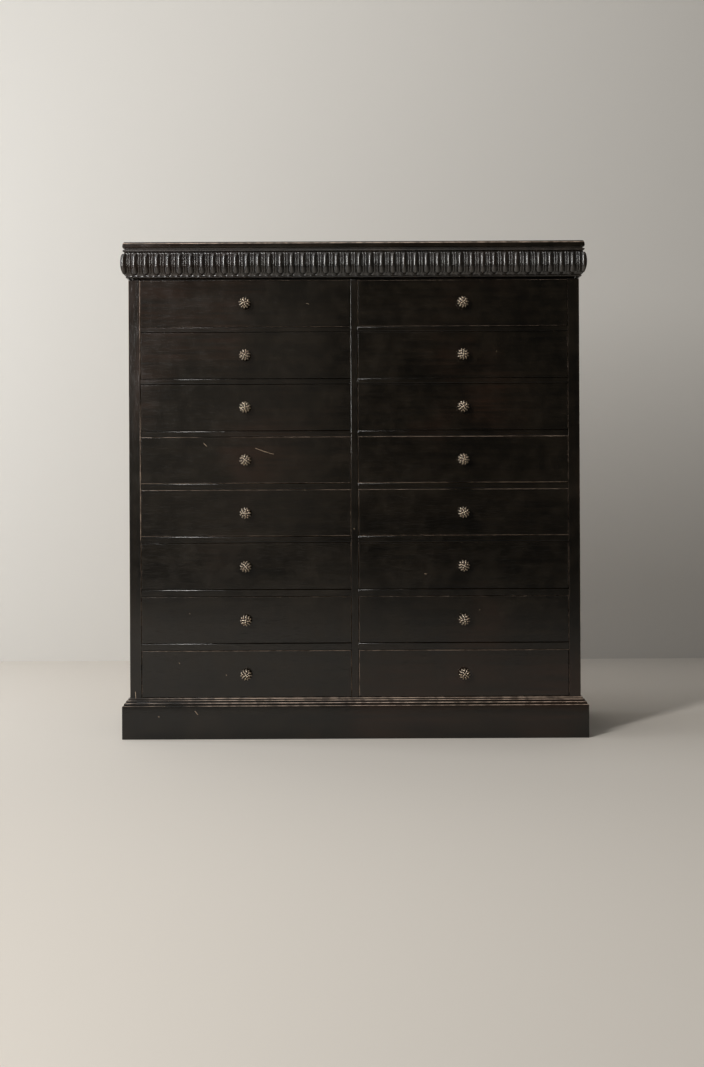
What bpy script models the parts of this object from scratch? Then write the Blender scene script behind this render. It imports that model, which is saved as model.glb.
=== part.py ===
"""Ebonised bank of sixteen drawers with a carved gadroon frieze, a moulded top and a plinth.

Metres, +Z up. The drawer fronts face -Y, and the origin is on the floor under the middle
of the bounding box. Every drawer is the same size; the rails between the rows get a little
thicker from top to bottom.
"""

import math

import bmesh
import bpy
from mathutils import Vector

# Overall size
HEIGHT = 1.300
CASE_WIDTH = 1.1812
CASE_DEPTH = 0.4446
FIT = 0.0003  # gap left between two pieces that touch

# Drawers
ROWS = 8
BANKS = (("left", -1), ("right", 1))
DRAWER_WIDTH = 0.5497
DRAWER_HEIGHT = 0.1215
DRAWER_LENGTH = 0.4240
RUNNING_GAP = 0.0012  # round a drawer front in its opening
DRAWER_RECESS = 0.0010  # drawer face behind the face of the rails
FRONT_THICKNESS = 0.0220
FRONT_ARRIS = 0.0010
DRAWER_SIDE_THICKNESS = 0.0110
DRAWER_SIDE_INSET = 0.0005
DRAWER_SIDE_DROP = 0.0060  # drawer sides stop this far below the top of the front
DRAWER_BACK_THICKNESS = 0.0110
DRAWER_BACK_DROP = 0.0050  # drawer back stops this far below the top of the sides
DRAWER_BOTTOM_THICKNESS = 0.0070
DRAWER_BOTTOM_LIFT = 0.0100  # bottom panel above the lower edge of the sides
GROOVE_DEPTH = 0.0060

# Lapped dovetails at the front corners of a drawer
TAILS = 3
TAIL_LENGTH = 0.0160
TAIL_TIP = 0.0270
TAIL_ROOT = 0.0210

# Drawer stops glued to the rails behind the fronts
STOP_LENGTH = 0.0300
STOP_DEPTH = 0.0180
STOP_HEIGHT = 0.0060
STOP_SPACING = 0.3600

# Carcass
SIDE_THICKNESS = 0.0295
PARTITION_THICKNESS = 0.0180
TOP_RAIL_THICKNESS = 0.0220
TOP_RAIL_RECESS = 0.0006
RAIL_THICKNESS = 0.0118  # under the top row
RAIL_GROWTH = 0.0010  # added at each row below
FIRST_DRAWER_TOP = 1.1995
BOTTOM_THICKNESS = 0.0180
HOUSING_DEPTH = 0.0060
HOUSING_SHOULDER = 0.0015
HOUSING_STOP = 0.0150  # housings stop this far behind the face of the sides
BACK_THICKNESS = 0.0100
BACK_REBATE = 0.0120
BACK_LIFT = 0.0200
BACK_BOARDS = 8
BOARD_JOINT_WIDTH = 0.0040
BOARD_JOINT_DEPTH = 0.0025

# Moulded edge of the top board, as (overhang, height above its underside)
TOP_THICKNESS = 0.0160
TOP_EDGE = (
    (0.0105, 0.0000),
    (0.0128, 0.0015),
    (0.0135, 0.0045),
    (0.0131, 0.0080),
    (0.0116, 0.0118),
    (0.0096, 0.0146),
    (0.0080, 0.0160),
)

# Gadroon frieze, a bead over a row of lobes with a narrow dart between each pair. Its section
# is (overhang, depth below the top of the object) with the share of the carving's depth on the
# carved edges, and its carving is (place in one repeat, depth below the lobe's crest).
LOBES_ACROSS = 42
LOBES_DEEP = 16
LOBES_PAST_CORNER = 0.0268  # the last lobes run this far past the case before the mitre
FRIEZE_BEAD = ((FIT, 0.0163), (0.0124, 0.0163), (0.0136, 0.0204), (0.0120, 0.0244))
FRIEZE_LOBES = (
    (0.0122, 0.0262, 0.0),
    (0.0186, 0.0380, 1.0),
    (0.0205, 0.0540, 1.0),
    (0.0190, 0.0730, 1.0),
    (0.0130, 0.0890, 0.8),
    (0.0040, 0.0985, 0.2),
)
CARVING = (
    (0.00, 0.0021),
    (0.13, 0.0052),
    (0.33, 0.0006),
    (0.67, 0.0006),
    (0.87, 0.0052),
)

# Plinth, as (overhang, height) with its moulded top edge set below the lowest opening
PLINTH_OVERHANG = 0.0189
PLINTH_BOARD_HEIGHT = 0.0880
PLINTH_TOP = 0.1056
PLINTH_SECTION = (
    (FIT, 0.0000),
    (PLINTH_OVERHANG - 0.0008, 0.0000),
    (PLINTH_OVERHANG, 0.0012),
    (PLINTH_OVERHANG, PLINTH_BOARD_HEIGHT - 0.0028),
    (PLINTH_OVERHANG - 0.0006, PLINTH_BOARD_HEIGHT - 0.0010),
    (PLINTH_OVERHANG - 0.0024, PLINTH_BOARD_HEIGHT),
    (0.0148, 0.0886),
    (0.0144, 0.0908),
    (0.0128, 0.0948),
    (0.0098, 0.0982),
    (0.0072, 0.1000),
    (0.0050, 0.1008),
    (0.0052, 0.1030),
    (0.0040, 0.1050),
    (0.0024, PLINTH_TOP),
    (FIT, PLINTH_TOP),
)
MITRE_GAP = 0.0002  # each length stops this far short of the mitre
MITRE_SPARE = 0.0400  # past the corner, cut off at the mitre

# Cast knob, turned about its bolt: (radius, distance in front of the drawer face)
KNOB_SIDES = 12
KNOB_SECTION = (
    (0.0022, FIT),
    (0.0104, FIT),
    (0.0096, 0.0026),
    (0.0058, 0.0056),
    (0.0128, 0.0118),
    (0.0158, 0.0182),
    (0.0128, 0.0256),
    (0.0054, 0.0300),
)
KNOB_REACH = KNOB_SECTION[-1][1]
BOLT_RADIUS = 0.0022
BOLT_HOLE_RADIUS = 0.0028
BOLT_HOLE_SIDES = 8
NUT_HALF_WIDTH = 0.0050
NUT_THICKNESS = 0.0045

# Places that follow from the sizes above
CASE_HALF = CASE_WIDTH / 2
FACE_Y = (KNOB_REACH - DRAWER_RECESS - CASE_DEPTH) / 2
REAR_Y = FACE_Y + CASE_DEPTH
DRAWER_FACE_Y = FACE_Y + DRAWER_RECESS
TOP_UNDERSIDE = HEIGHT - TOP_THICKNESS
SIDE_INNER = CASE_HALF - SIDE_THICKNESS
OPENING_MIDDLE = (SIDE_INNER + PARTITION_THICKNESS / 2) / 2
BACK_FRONT_Y = REAR_Y - BACK_THICKNESS
HOUSING_FRONT_Y = FACE_Y + HOUSING_STOP
HOUSING_REAR_Y = BACK_FRONT_Y - 0.0060
FLAT_ANGLE = math.radians(0.5)


def rail_thickness(row):
    """Thickness of the rail under a row, counted from 0 at the top."""
    return RAIL_THICKNESS + row * RAIL_GROWTH


def drawer_top(row):
    """Height of the top edge of a row's drawer fronts."""
    pitches = (DRAWER_HEIGHT + 2 * RUNNING_GAP + rail_thickness(above) for above in range(row))
    return FIRST_DRAWER_TOP - sum(pitches)


def opening_floor(row):
    """Height of the surface that a row's drawers run on."""
    return drawer_top(row) - DRAWER_HEIGHT - RUNNING_GAP


def paint(name, colour, roughness, metallic=0.0):
    """A material with one colour."""
    material = bpy.data.materials.new(name)
    material.use_nodes = True
    shader = material.node_tree.nodes["Principled BSDF"]
    shader.inputs["Base Color"].default_value = (*colour, 1.0)
    shader.inputs["Roughness"].default_value = roughness
    shader.inputs["Metallic"].default_value = metallic
    return material


def finished(bm, name):
    """The bmesh as a mesh with its flat faces whole and pointing outwards."""
    bmesh.ops.recalc_face_normals(bm, faces=bm.faces)
    bm.normal_update()
    bmesh.ops.dissolve_limit(bm, angle_limit=FLAT_ANGLE, verts=bm.verts, edges=bm.edges)
    mesh = bpy.data.meshes.new(name)
    bm.to_mesh(mesh)
    bm.free()
    return mesh


def place(name, mesh, material, location=(0, 0, 0), parent=None, smooth_angle=None):
    """An object for the mesh, shaded smooth up to smooth_angle where that is given."""
    if not mesh.materials:
        mesh.materials.append(material)
    if smooth_angle is not None:
        mesh.shade_smooth()
        mesh.set_sharp_from_angle(angle=smooth_angle)
    obj = bpy.data.objects.new(name, mesh)
    obj.location = location
    obj.parent = parent
    bpy.context.scene.collection.objects.link(obj)
    return obj


def extruded(name, outline, push):
    """A closed outline of points pushed along a vector."""
    bm = bmesh.new()
    face = bm.faces.new([bm.verts.new(point) for point in outline])
    pushed = bmesh.ops.extrude_face_region(bm, geom=[face])["geom"]
    moved = [item for item in pushed if isinstance(item, bmesh.types.BMVert)]
    bmesh.ops.translate(bm, verts=moved, vec=push)
    return finished(bm, name)


def skinned(name, rings):
    """A solid through rings of equally many points, closed at both ends."""
    bm = bmesh.new()
    loops = [[bm.verts.new(point) for point in ring] for ring in rings]
    for one, two in zip(loops, loops[1:]):
        for k in range(len(one)):
            after = (k + 1) % len(one)
            bm.faces.new((one[k], one[after], two[after], two[k]))
    bm.faces.new(loops[0])
    bm.faces.new(loops[-1])
    return finished(bm, name)


def blocks(name, corners):
    """Separate rectangular blocks, each given by its lowest and highest corner."""
    bm = bmesh.new()
    for low, high in corners:
        size = Vector(high) - Vector(low)
        made = bmesh.ops.create_cube(bm, size=1.0)["verts"]
        bmesh.ops.scale(bm, verts=made, vec=size)
        bmesh.ops.translate(bm, verts=made, vec=(Vector(low) + Vector(high)) / 2)
    return finished(bm, name)


def combined(body, tools, operation):
    """The body mesh with the tool meshes cut from it (DIFFERENCE) or added to it (UNION)."""
    host = bpy.data.objects.new("host", body)
    bpy.context.scene.collection.objects.link(host)
    helpers = []
    for tool in tools:
        helper = bpy.data.objects.new("tool", tool)
        bpy.context.scene.collection.objects.link(helper)
        helpers.append(helper)
        modifier = host.modifiers.new(operation, "BOOLEAN")
        modifier.operation = operation
        modifier.object = helper
    bpy.context.view_layer.update()
    graph = bpy.context.evaluated_depsgraph_get()
    bm = bmesh.new()
    bm.from_mesh(host.evaluated_get(graph).data)
    for obj in (host, *helpers):
        bpy.data.objects.remove(obj)
    return finished(bm, body.name)


def mirrored(point, hand):
    """The point, or its mirror image across the middle of the object where hand is -1."""
    return (hand * point[0], point[1], point[2])


def side_board(name, hand, material):
    """A carcass side, rebated for the back and housed for the rails and the bottom board."""
    outline = (
        (CASE_HALF, FACE_Y, 0.0),
        (CASE_HALF, REAR_Y, 0.0),
        (SIDE_INNER + BACK_REBATE, REAR_Y, 0.0),
        (SIDE_INNER + BACK_REBATE, BACK_FRONT_Y, 0.0),
        (SIDE_INNER, BACK_FRONT_Y, 0.0),
        (SIDE_INNER, FACE_Y, 0.0),
    )
    outline = [mirrored(point, hand) for point in outline]
    board = extruded(name, outline, (0, 0, TOP_UNDERSIDE - FIT))
    housings = []
    for row in range(ROWS):
        top = opening_floor(row) - HOUSING_SHOULDER + FIT
        depth = rail_thickness(row) - 2 * HOUSING_SHOULDER
        if row == ROWS - 1:
            top = opening_floor(row) + FIT
            depth = BOTTOM_THICKNESS
        near = hand * (SIDE_INNER - 0.01)
        far = hand * (SIDE_INNER + HOUSING_DEPTH + FIT)
        low = (min(near, far), HOUSING_FRONT_Y - FIT, top - depth - 2 * FIT)
        high = (max(near, far), HOUSING_REAR_Y + FIT, top)
        housings.append((low, high))
    board = combined(board, [blocks("housings", housings)], "DIFFERENCE")
    return place(name, board, material)


def back_boards(material):
    """Vertical matched boards nailed into the rebates, with a V joint between each pair."""
    reach = SIDE_INNER + BACK_REBATE - FIT
    board = 2 * reach / BACK_BOARDS
    half_joint = BOARD_JOINT_WIDTH / 2
    outline = [(reach, BACK_FRONT_Y + FIT), (-reach, BACK_FRONT_Y + FIT), (-reach, REAR_Y)]
    for joint in range(1, BACK_BOARDS):
        x = joint * board - reach
        outline.append((x - half_joint, REAR_Y))
        outline.append((x, REAR_Y - BOARD_JOINT_DEPTH))
        outline.append((x + half_joint, REAR_Y))
    outline.append((reach, REAR_Y))
    points = [(x, y, BACK_LIFT) for x, y in outline]
    height = TOP_UNDERSIDE - FIT - BACK_LIFT
    return place("back_boards", extruded("back_boards", points, (0, 0, height)), material)


def stop_blocks(row):
    """Corners of the four drawer stops of a row, sunk into the board that carries them."""
    floor = opening_floor(row)
    near = DRAWER_FACE_Y + FRONT_THICKNESS + FIT
    corners = []
    for middle in (-OPENING_MIDDLE, OPENING_MIDDLE):
        for x in (middle - STOP_SPACING / 2, middle + STOP_SPACING / 2):
            low = (x - STOP_LENGTH / 2, near, floor - STOP_HEIGHT / 2)
            high = (x + STOP_LENGTH / 2, near + STOP_DEPTH, floor + STOP_HEIGHT)
            corners.append((low, high))
    return corners


def divider_grid(material):
    """The centre partition with its rails, which run to the back as dust boards.

    The outline is the grid seen from the front. Tongues, the rail behind the frieze and
    the drawer stops are added to it.
    """
    reach = SIDE_INNER - FIT
    half = PARTITION_THICKNESS / 2
    foot = opening_floor(ROWS - 1) + FIT
    head = TOP_UNDERSIDE - FIT
    right_edge = [(half, foot)]
    for row in reversed(range(ROWS - 1)):
        top = opening_floor(row)
        bottom = top - rail_thickness(row)
        right_edge += [(half, bottom), (reach, bottom), (reach, top), (half, top)]
    right_edge.append((half, head))
    left_edge = [(-x, z) for x, z in reversed(right_edge)]
    outline = [(x, FACE_Y, z) for x, z in right_edge + left_edge]
    depth = BACK_FRONT_Y - FIT - FACE_Y
    grid = extruded("divider_grid", outline, (0, depth, 0))

    additions = []
    for row in range(ROWS - 1):
        top = opening_floor(row) - HOUSING_SHOULDER
        bottom = opening_floor(row) - rail_thickness(row) + HOUSING_SHOULDER
        inner = reach - 0.02
        outer = SIDE_INNER + HOUSING_DEPTH
        additions.append(((inner, HOUSING_FRONT_Y, bottom), (outer, HOUSING_REAR_Y, top)))
        additions.append(((-outer, HOUSING_FRONT_Y, bottom), (-inner, HOUSING_REAR_Y, top)))
        additions += stop_blocks(row)
    rail_face = FACE_Y + TOP_RAIL_RECESS
    rail_foot = drawer_top(0) + RUNNING_GAP
    rail_low = (-reach, rail_face, rail_foot)
    rail_high = (reach, rail_face + TOP_RAIL_THICKNESS, head - 0.001)
    rail = blocks("top_rail", [(rail_low, rail_high)])
    grid = combined(grid, [blocks("additions", additions), rail], "UNION")
    return place("divider_grid", grid, material)


def bottom_board(material):
    """The board under the lowest drawers, with tongues in the sides' housings."""
    inner = SIDE_INNER - FIT
    outer = SIDE_INNER + HOUSING_DEPTH
    right_edge = (
        (inner, FACE_Y),
        (inner, HOUSING_FRONT_Y),
        (outer, HOUSING_FRONT_Y),
        (outer, HOUSING_REAR_Y),
        (inner, HOUSING_REAR_Y),
        (inner, BACK_FRONT_Y - FIT),
    )
    left_edge = [(-x, y) for x, y in reversed(right_edge)]
    floor = opening_floor(ROWS - 1)
    outline = [(x, y, floor) for x, y in (*right_edge, *left_edge)]
    board = extruded("bottom_board", outline, (0, 0, -BOTTOM_THICKNESS))
    stops = blocks("stops", stop_blocks(ROWS - 1))
    return place("bottom_board", combined(board, [stops], "UNION"), material)


def top_board(material):
    """The top, with its thumb moulding run round the front and both ends."""
    rings = []
    for overhang, rise in TOP_EDGE:
        half = CASE_HALF + overhang
        z = TOP_UNDERSIDE + rise
        front = FACE_Y - overhang
        rings.append([(-half, front, z), (half, front, z), (half, REAR_Y, z), (-half, REAR_Y, z)])
    return place("top_board", skinned("top_board", rings), material)


def run_point(run, overhang, z, along):
    """A point of a moulding outside the case, at a distance from the middle or rear of its run."""
    if run == "front":
        return (along, FACE_Y - overhang, z)
    hand = -1 if run == "left" else 1
    return (hand * (CASE_HALF + overhang), REAR_Y - along, z)


def mitred(bm, run):
    """Cuts a moulding at the mitres on the case's front corners and closes the cuts."""
    hands = {"front": (-1, 1), "left": (-1,), "right": (1,)}[run]
    for hand in hands:
        outward = Vector((hand, 1, 0)).normalized()
        if run != "front":
            outward.negate()
        corner = Vector((hand * CASE_HALF, FACE_Y, 0)) - outward * MITRE_GAP
        geometry = [*bm.verts, *bm.edges, *bm.faces]
        cut = bmesh.ops.bisect_plane(
            bm, geom=geometry, plane_co=corner, plane_no=outward, clear_outer=True
        )
        edges = [item for item in cut["geom_cut"] if isinstance(item, bmesh.types.BMEdge)]
        bmesh.ops.contextual_create(bm, geom=edges)


def plinth_board(run, material):
    """One mitred length of the plinth."""
    start, end = 0.0, CASE_DEPTH + MITRE_SPARE
    if run == "front":
        start, end = -CASE_HALF - MITRE_SPARE, CASE_HALF + MITRE_SPARE
    bm = bmesh.new()
    loops = []
    for along in (start, end):
        loops.append([bm.verts.new(run_point(run, out, z, along)) for out, z in PLINTH_SECTION])
        bm.faces.new(loops[-1])
    for k in range(len(PLINTH_SECTION)):
        bm.faces.new((loops[0][k - 1], loops[0][k], loops[1][k], loops[1][k - 1]))
    mitred(bm, run)
    name = f"plinth_{run}"
    return place(name, finished(bm, name), material)


def frieze_edge(bm, run, lobes, start, end, overhang, depth, share=None):
    """Vertices of one long edge of the frieze, as a list for each lobe up to the next lobe.

    A plain edge (no share) has vertices only where the lobes meet.
    """
    stations = CARVING[:1] if share is None else CARVING
    verts = []
    for repeat in range(lobes + 1):
        for place_in_repeat, cut in stations if repeat < lobes else CARVING[:1]:
            along = start + (end - start) * (repeat + place_in_repeat) / lobes
            out = overhang - (share or 0.0) * cut
            verts.append(bm.verts.new(run_point(run, out, HEIGHT - depth, along)))
    step = len(stations)
    return [verts[repeat * step : (repeat + 1) * step + 1] for repeat in range(lobes)]


def gadroon_frieze(run, material):
    """One mitred length of the frieze, with its lobes upright and cut by the mitre."""
    lobes, start, end = LOBES_DEEP, 0.0, CASE_DEPTH + LOBES_PAST_CORNER
    if run == "front":
        lobes, end = LOBES_ACROSS, CASE_HALF + LOBES_PAST_CORNER
        start = -end
    bm = bmesh.new()
    foot = (FIT, FRIEZE_LOBES[-1][1])
    section = (*FRIEZE_BEAD, *FRIEZE_LOBES, foot)
    edges = [frieze_edge(bm, run, lobes, start, end, *edge) for edge in section]
    for upper, lower in zip(edges, edges[1:] + edges[:1]):
        for near, far in zip(upper, lower):
            if len(near) != len(far):
                bm.faces.new(near + far[::-1])
                continue
            for k in range(len(near) - 1):
                bm.faces.new((near[k], near[k + 1], far[k + 1], far[k]))
    bm.faces.new([edge[0][0] for edge in edges])
    bm.faces.new([edge[-1][-1] for edge in edges])
    mitred(bm, run)
    bmesh.ops.recalc_face_normals(bm, faces=bm.faces)
    name = f"gadroon_{run}"
    mesh = bpy.data.meshes.new(name)
    bm.to_mesh(mesh)
    bm.free()
    return place(name, mesh, material, smooth_angle=math.radians(50))


def tail_middles():
    """Heights of the dovetails' middle lines above the lower edge of a drawer side."""
    height = DRAWER_HEIGHT - DRAWER_SIDE_DROP
    return [height * (tail + 0.5) / TAILS for tail in range(TAILS)]


def dovetail_sockets():
    """Cutters for the sockets in the ends of a drawer front, about the front's lower middle."""
    sockets = []
    end = DRAWER_WIDTH / 2
    inner = end - DRAWER_SIDE_INSET - DRAWER_SIDE_THICKNESS - FIT
    rear = FRONT_THICKNESS + 0.004
    tip_y = FRONT_THICKNESS - TAIL_LENGTH
    root_y = FRONT_THICKNESS
    spread = (TAIL_TIP - TAIL_ROOT) / 2 / TAIL_LENGTH
    half_tip = TAIL_TIP / 2 + FIT
    half_rear = TAIL_ROOT / 2 + FIT - spread * (rear - root_y)
    for middle in tail_middles():
        outline = (
            (inner, tip_y, middle - half_tip),
            (inner, tip_y, middle + half_tip),
            (inner, rear, middle + half_rear),
            (inner, rear, middle - half_rear),
        )
        for hand in (-1, 1):
            points = [mirrored(point, hand) for point in outline]
            push = (hand * (end - inner + 0.004), 0, 0)
            sockets.append(extruded("socket", points, push))
    return sockets


def bolt_hole():
    """Cutter for the knob's bolt hole through a drawer front."""
    bm = bmesh.new()
    for y in (-0.004, FRONT_THICKNESS + 0.004):
        ring = []
        for side in range(BOLT_HOLE_SIDES):
            angle = math.tau * (side + 0.5) / BOLT_HOLE_SIDES
            x = BOLT_HOLE_RADIUS * math.cos(angle)
            z = DRAWER_HEIGHT / 2 + BOLT_HOLE_RADIUS * math.sin(angle)
            ring.append(bm.verts.new((x, y, z)))
        bm.faces.new(ring)
    bmesh.ops.bridge_loops(bm, edges=bm.edges[:])
    return finished(bm, "bolt_hole")


def drawer_front_mesh():
    """A drawer front with its face at y 0 and its lower edge at z 0, centred on x."""
    half = DRAWER_WIDTH / 2
    eased = FRONT_ARRIS
    rings = []
    for inset, y in ((eased, 0.0), (0.0, eased), (0.0, FRONT_THICKNESS)):
        low, high, reach = inset, DRAWER_HEIGHT - inset, half - inset
        rings.append([(-reach, y, low), (reach, y, low), (reach, y, high), (-reach, y, high)])
    front = skinned("drawer_front", rings)
    groove_half = half - DRAWER_SIDE_THICKNESS / 2
    floor = side_foot() + DRAWER_BOTTOM_LIFT
    groove_low = (-groove_half, FRONT_THICKNESS - GROOVE_DEPTH, floor - FIT)
    groove_high = (
        groove_half,
        FRONT_THICKNESS + 0.004,
        floor + DRAWER_BOTTOM_THICKNESS + FIT,
    )
    groove = blocks("groove", [(groove_low, groove_high)])
    return combined(front, [groove, *dovetail_sockets(), bolt_hole()], "DIFFERENCE")


def side_foot():
    """Height of the drawer sides' running edge above the drawer front's lower edge."""
    return FIT - RUNNING_GAP


def drawer_side_mesh(hand):
    """One drawer side, drawn as its outline with the dovetails on its front end."""
    shoulder = FRONT_THICKNESS + FIT
    tip = FRONT_THICKNESS - TAIL_LENGTH + FIT
    foot = side_foot()
    head = DRAWER_HEIGHT - DRAWER_SIDE_DROP
    outline = [(shoulder, foot)]
    for middle in tail_middles():
        outline.append((shoulder, middle - TAIL_ROOT / 2))
        outline.append((tip, middle - TAIL_TIP / 2))
        outline.append((tip, middle + TAIL_TIP / 2))
        outline.append((shoulder, middle + TAIL_ROOT / 2))
    outline += [(shoulder, head), (DRAWER_LENGTH, head), (DRAWER_LENGTH, foot)]
    outer = hand * (DRAWER_WIDTH / 2 - DRAWER_SIDE_INSET)
    points = [(outer, y, z) for y, z in outline]
    return extruded("drawer_side", points, (-hand * DRAWER_SIDE_THICKNESS, 0, 0))


def drawer_box_mesh():
    """Sides, back and bottom of a drawer, in the same frame as its front."""
    inside = DRAWER_WIDTH / 2 - DRAWER_SIDE_INSET - DRAWER_SIDE_THICKNESS
    housed = inside + GROOVE_DEPTH
    floor = side_foot() + DRAWER_BOTTOM_LIFT
    panel_front = FRONT_THICKNESS - GROOVE_DEPTH + FIT
    bottom_low = (-housed, panel_front, floor)
    bottom_high = (housed, DRAWER_LENGTH - 0.002, floor + DRAWER_BOTTOM_THICKNESS)
    bottom = blocks("drawer_bottom", [(bottom_low, bottom_high)])
    head = DRAWER_HEIGHT - DRAWER_SIDE_DROP - DRAWER_BACK_DROP
    back_rear = DRAWER_LENGTH - 0.006
    back_low = (-housed, back_rear - DRAWER_BACK_THICKNESS, floor + 0.002)
    back_high = (housed, back_rear, head)
    back = blocks("drawer_back", [(back_low, back_high)])
    box = combined(drawer_side_mesh(-1), [drawer_side_mesh(1), bottom, back], "UNION")
    box.name = "drawer_box"
    return box


def square_radius(angle, half_width):
    """Distance from the middle of a square to its edge in a direction."""
    return half_width / max(abs(math.cos(angle)), abs(math.sin(angle)))


def knob_mesh():
    """A cast knob with its bolt and square nut; the drawer face is at y 0."""
    angles = [math.tau * (side + 0.5) / KNOB_SIDES for side in range(KNOB_SIDES)]

    def ring(radii, y):
        return [(r * math.cos(angle), y, r * math.sin(angle)) for r, angle in zip(radii, angles)]

    nut = [square_radius(angle, NUT_HALF_WIDTH) for angle in angles]
    nut_face = FRONT_THICKNESS + FIT
    rings = [ring(nut, nut_face + NUT_THICKNESS), ring(nut, nut_face)]
    rings.append(ring([BOLT_RADIUS] * KNOB_SIDES, nut_face))
    rings += [ring([radius] * KNOB_SIDES, -reach) for radius, reach in KNOB_SECTION]
    return skinned("knob", rings)


def drawer_set(wood, softwood, bronze):
    """Sixteen drawers, each on an empty at the lower middle of its front."""
    front, box, knob = drawer_front_mesh(), drawer_box_mesh(), knob_mesh()
    for bank, hand in BANKS:
        for row in range(ROWS):
            label = f"{bank}_{row + 1}"
            empty = bpy.data.objects.new(f"drawer_{label}", None)
            foot = drawer_top(row) - DRAWER_HEIGHT
            empty.location = (hand * OPENING_MIDDLE, DRAWER_FACE_Y, foot)
            bpy.context.scene.collection.objects.link(empty)
            place(f"drawer_front_{label}", front, wood, parent=empty)
            place(f"drawer_box_{label}", box, softwood, parent=empty)
            middle = (0, 0, DRAWER_HEIGHT / 2)
            place(f"knob_{label}", knob, bronze, middle, empty, math.radians(35))


def main():
    """Clears the scene and builds every piece."""
    for obj in list(bpy.data.objects):
        bpy.data.objects.remove(obj)
    wood = paint("ebonised_wood", (0.020, 0.017, 0.015), 0.42)
    softwood = paint("bare_pine", (0.42, 0.27, 0.14), 0.70)
    bronze = paint("aged_bronze", (0.36, 0.27, 0.18), 0.38, 0.9)
    side_board("side_left", -1, wood)
    side_board("side_right", 1, wood)
    back_boards(softwood)
    divider_grid(wood)
    bottom_board(wood)
    top_board(wood)
    for run in ("front", "left", "right"):
        gadroon_frieze(run, wood)
        plinth_board(run, wood)
    drawer_set(wood, softwood, bronze)


main()
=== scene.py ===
"""Looks of an ebonised bank of sixteen drawers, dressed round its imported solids.

Metres, +Z up, with the drawer fronts towards -Y. Every place is worked out from the boxes of
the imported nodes, so a piece lies where its solid lies.

Each mesh carries what its finish reads. "grain" is a point's place in the board that it was
cut from, with X along the grain. "rim" holds the distances in millimetres to the four
arrises round a face, and "hollow" is how deep a carved point lies, from 0 to 1.
"""

import logging
import math
from collections.abc import Callable, Sequence
from dataclasses import dataclass
from enum import Enum

import bmesh
import bpy
import numpy as np
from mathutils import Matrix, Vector

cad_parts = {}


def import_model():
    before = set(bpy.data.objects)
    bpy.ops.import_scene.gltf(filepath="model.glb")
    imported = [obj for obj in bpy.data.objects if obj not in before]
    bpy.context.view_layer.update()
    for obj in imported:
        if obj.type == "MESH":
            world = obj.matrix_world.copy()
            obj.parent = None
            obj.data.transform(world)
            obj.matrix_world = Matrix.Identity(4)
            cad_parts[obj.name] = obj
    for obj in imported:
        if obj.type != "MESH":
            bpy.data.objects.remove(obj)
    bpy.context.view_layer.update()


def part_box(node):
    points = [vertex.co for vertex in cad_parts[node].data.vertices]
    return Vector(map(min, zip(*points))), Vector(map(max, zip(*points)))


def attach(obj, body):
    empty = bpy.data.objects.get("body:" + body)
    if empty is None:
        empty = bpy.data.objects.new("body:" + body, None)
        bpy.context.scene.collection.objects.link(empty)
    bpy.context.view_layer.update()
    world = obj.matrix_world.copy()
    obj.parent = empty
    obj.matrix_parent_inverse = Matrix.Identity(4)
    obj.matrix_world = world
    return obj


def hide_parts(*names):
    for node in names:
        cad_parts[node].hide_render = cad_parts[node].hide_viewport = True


LOG = logging.getLogger("bank_of_drawers")
MM = 0.001
NO_ARRIS = 60.0
ROWS = 8
FRONT_FACE = -0.2068
CASE_FACE = -0.2078
TOP_EDGE = -0.2203
PLINTH_FACE = -0.2267
RUNNING_GAP = 0.0012
FIT = 0.0003
MITRE_GAP = 0.00005
SAME = 0.00001
CUT_DISTANCE = 1e-7

BMesh, Mesh = bmesh.types.BMesh, bpy.types.Mesh
Node, NodeTree, Socket = bpy.types.Node, bpy.types.NodeTree, bpy.types.NodeSocket
Feed = float | Sequence[float] | Socket | None
Pair = tuple[float, float]
Point = tuple[float, float, float]


class Axis(Enum):
    """A row axis, as an index."""

    X = 0
    Y = 1
    Z = 2

    @property
    def order(self) -> list[int]:
        """All three axes, with this one first."""
        return sorted(range(3), key=lambda axis: axis != self.value)


class Run(Enum):
    """The three lengths of a moulding that goes round the case."""

    FRONT = "front"
    LEFT = "left"
    RIGHT = "right"

    @property
    def hand(self) -> int:
        """-1 on the left, 1 on the right and 0 at the front."""
        return {"front": 0, "left": -1, "right": 1}[self.value]


class Slot(Enum):
    """The record's material slots."""

    EBONISED = "ebonised_wood"
    PINE = "bare_pine"
    BRONZE = "aged_bronze"


@dataclass(frozen=True)
class RowWearAndHighlight:
    """How hard the arrises of one row have been rubbed, 1 for the hardest. The pale lines are partly wear and
    partly painted highlight, stronger at the left end than the right.
    """

    head: float
    foot: float
    stile: float
    start: float = 0.25
    end: float = 0.10


# Rubbing per row: partly wear and partly painted highlight on the arrises.
ROW_WEAR_AND_HIGHLIGHT = (
    RowWearAndHighlight(0.30, 0.40, 0.95), RowWearAndHighlight(0.50, 0.15, 0.75), RowWearAndHighlight(0.50, 0.08, 0.60), RowWearAndHighlight(0.65, 0.90, 1.00),
    RowWearAndHighlight(0.70, 0.80, 1.05, 0.35), RowWearAndHighlight(0.85, 0.08, 0.20, 0.30), RowWearAndHighlight(0.95, 0.20, 0.20, 0.40),
    RowWearAndHighlight(0.75, 0.35, 0.10, 0.75))
Rubbing = Callable[[Vector], Sequence[float]]


def even_use(amount: float) -> Rubbing:
    """The same amount of rubbing on all four arrises of every face."""
    return lambda _: (amount,) * 4


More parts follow.
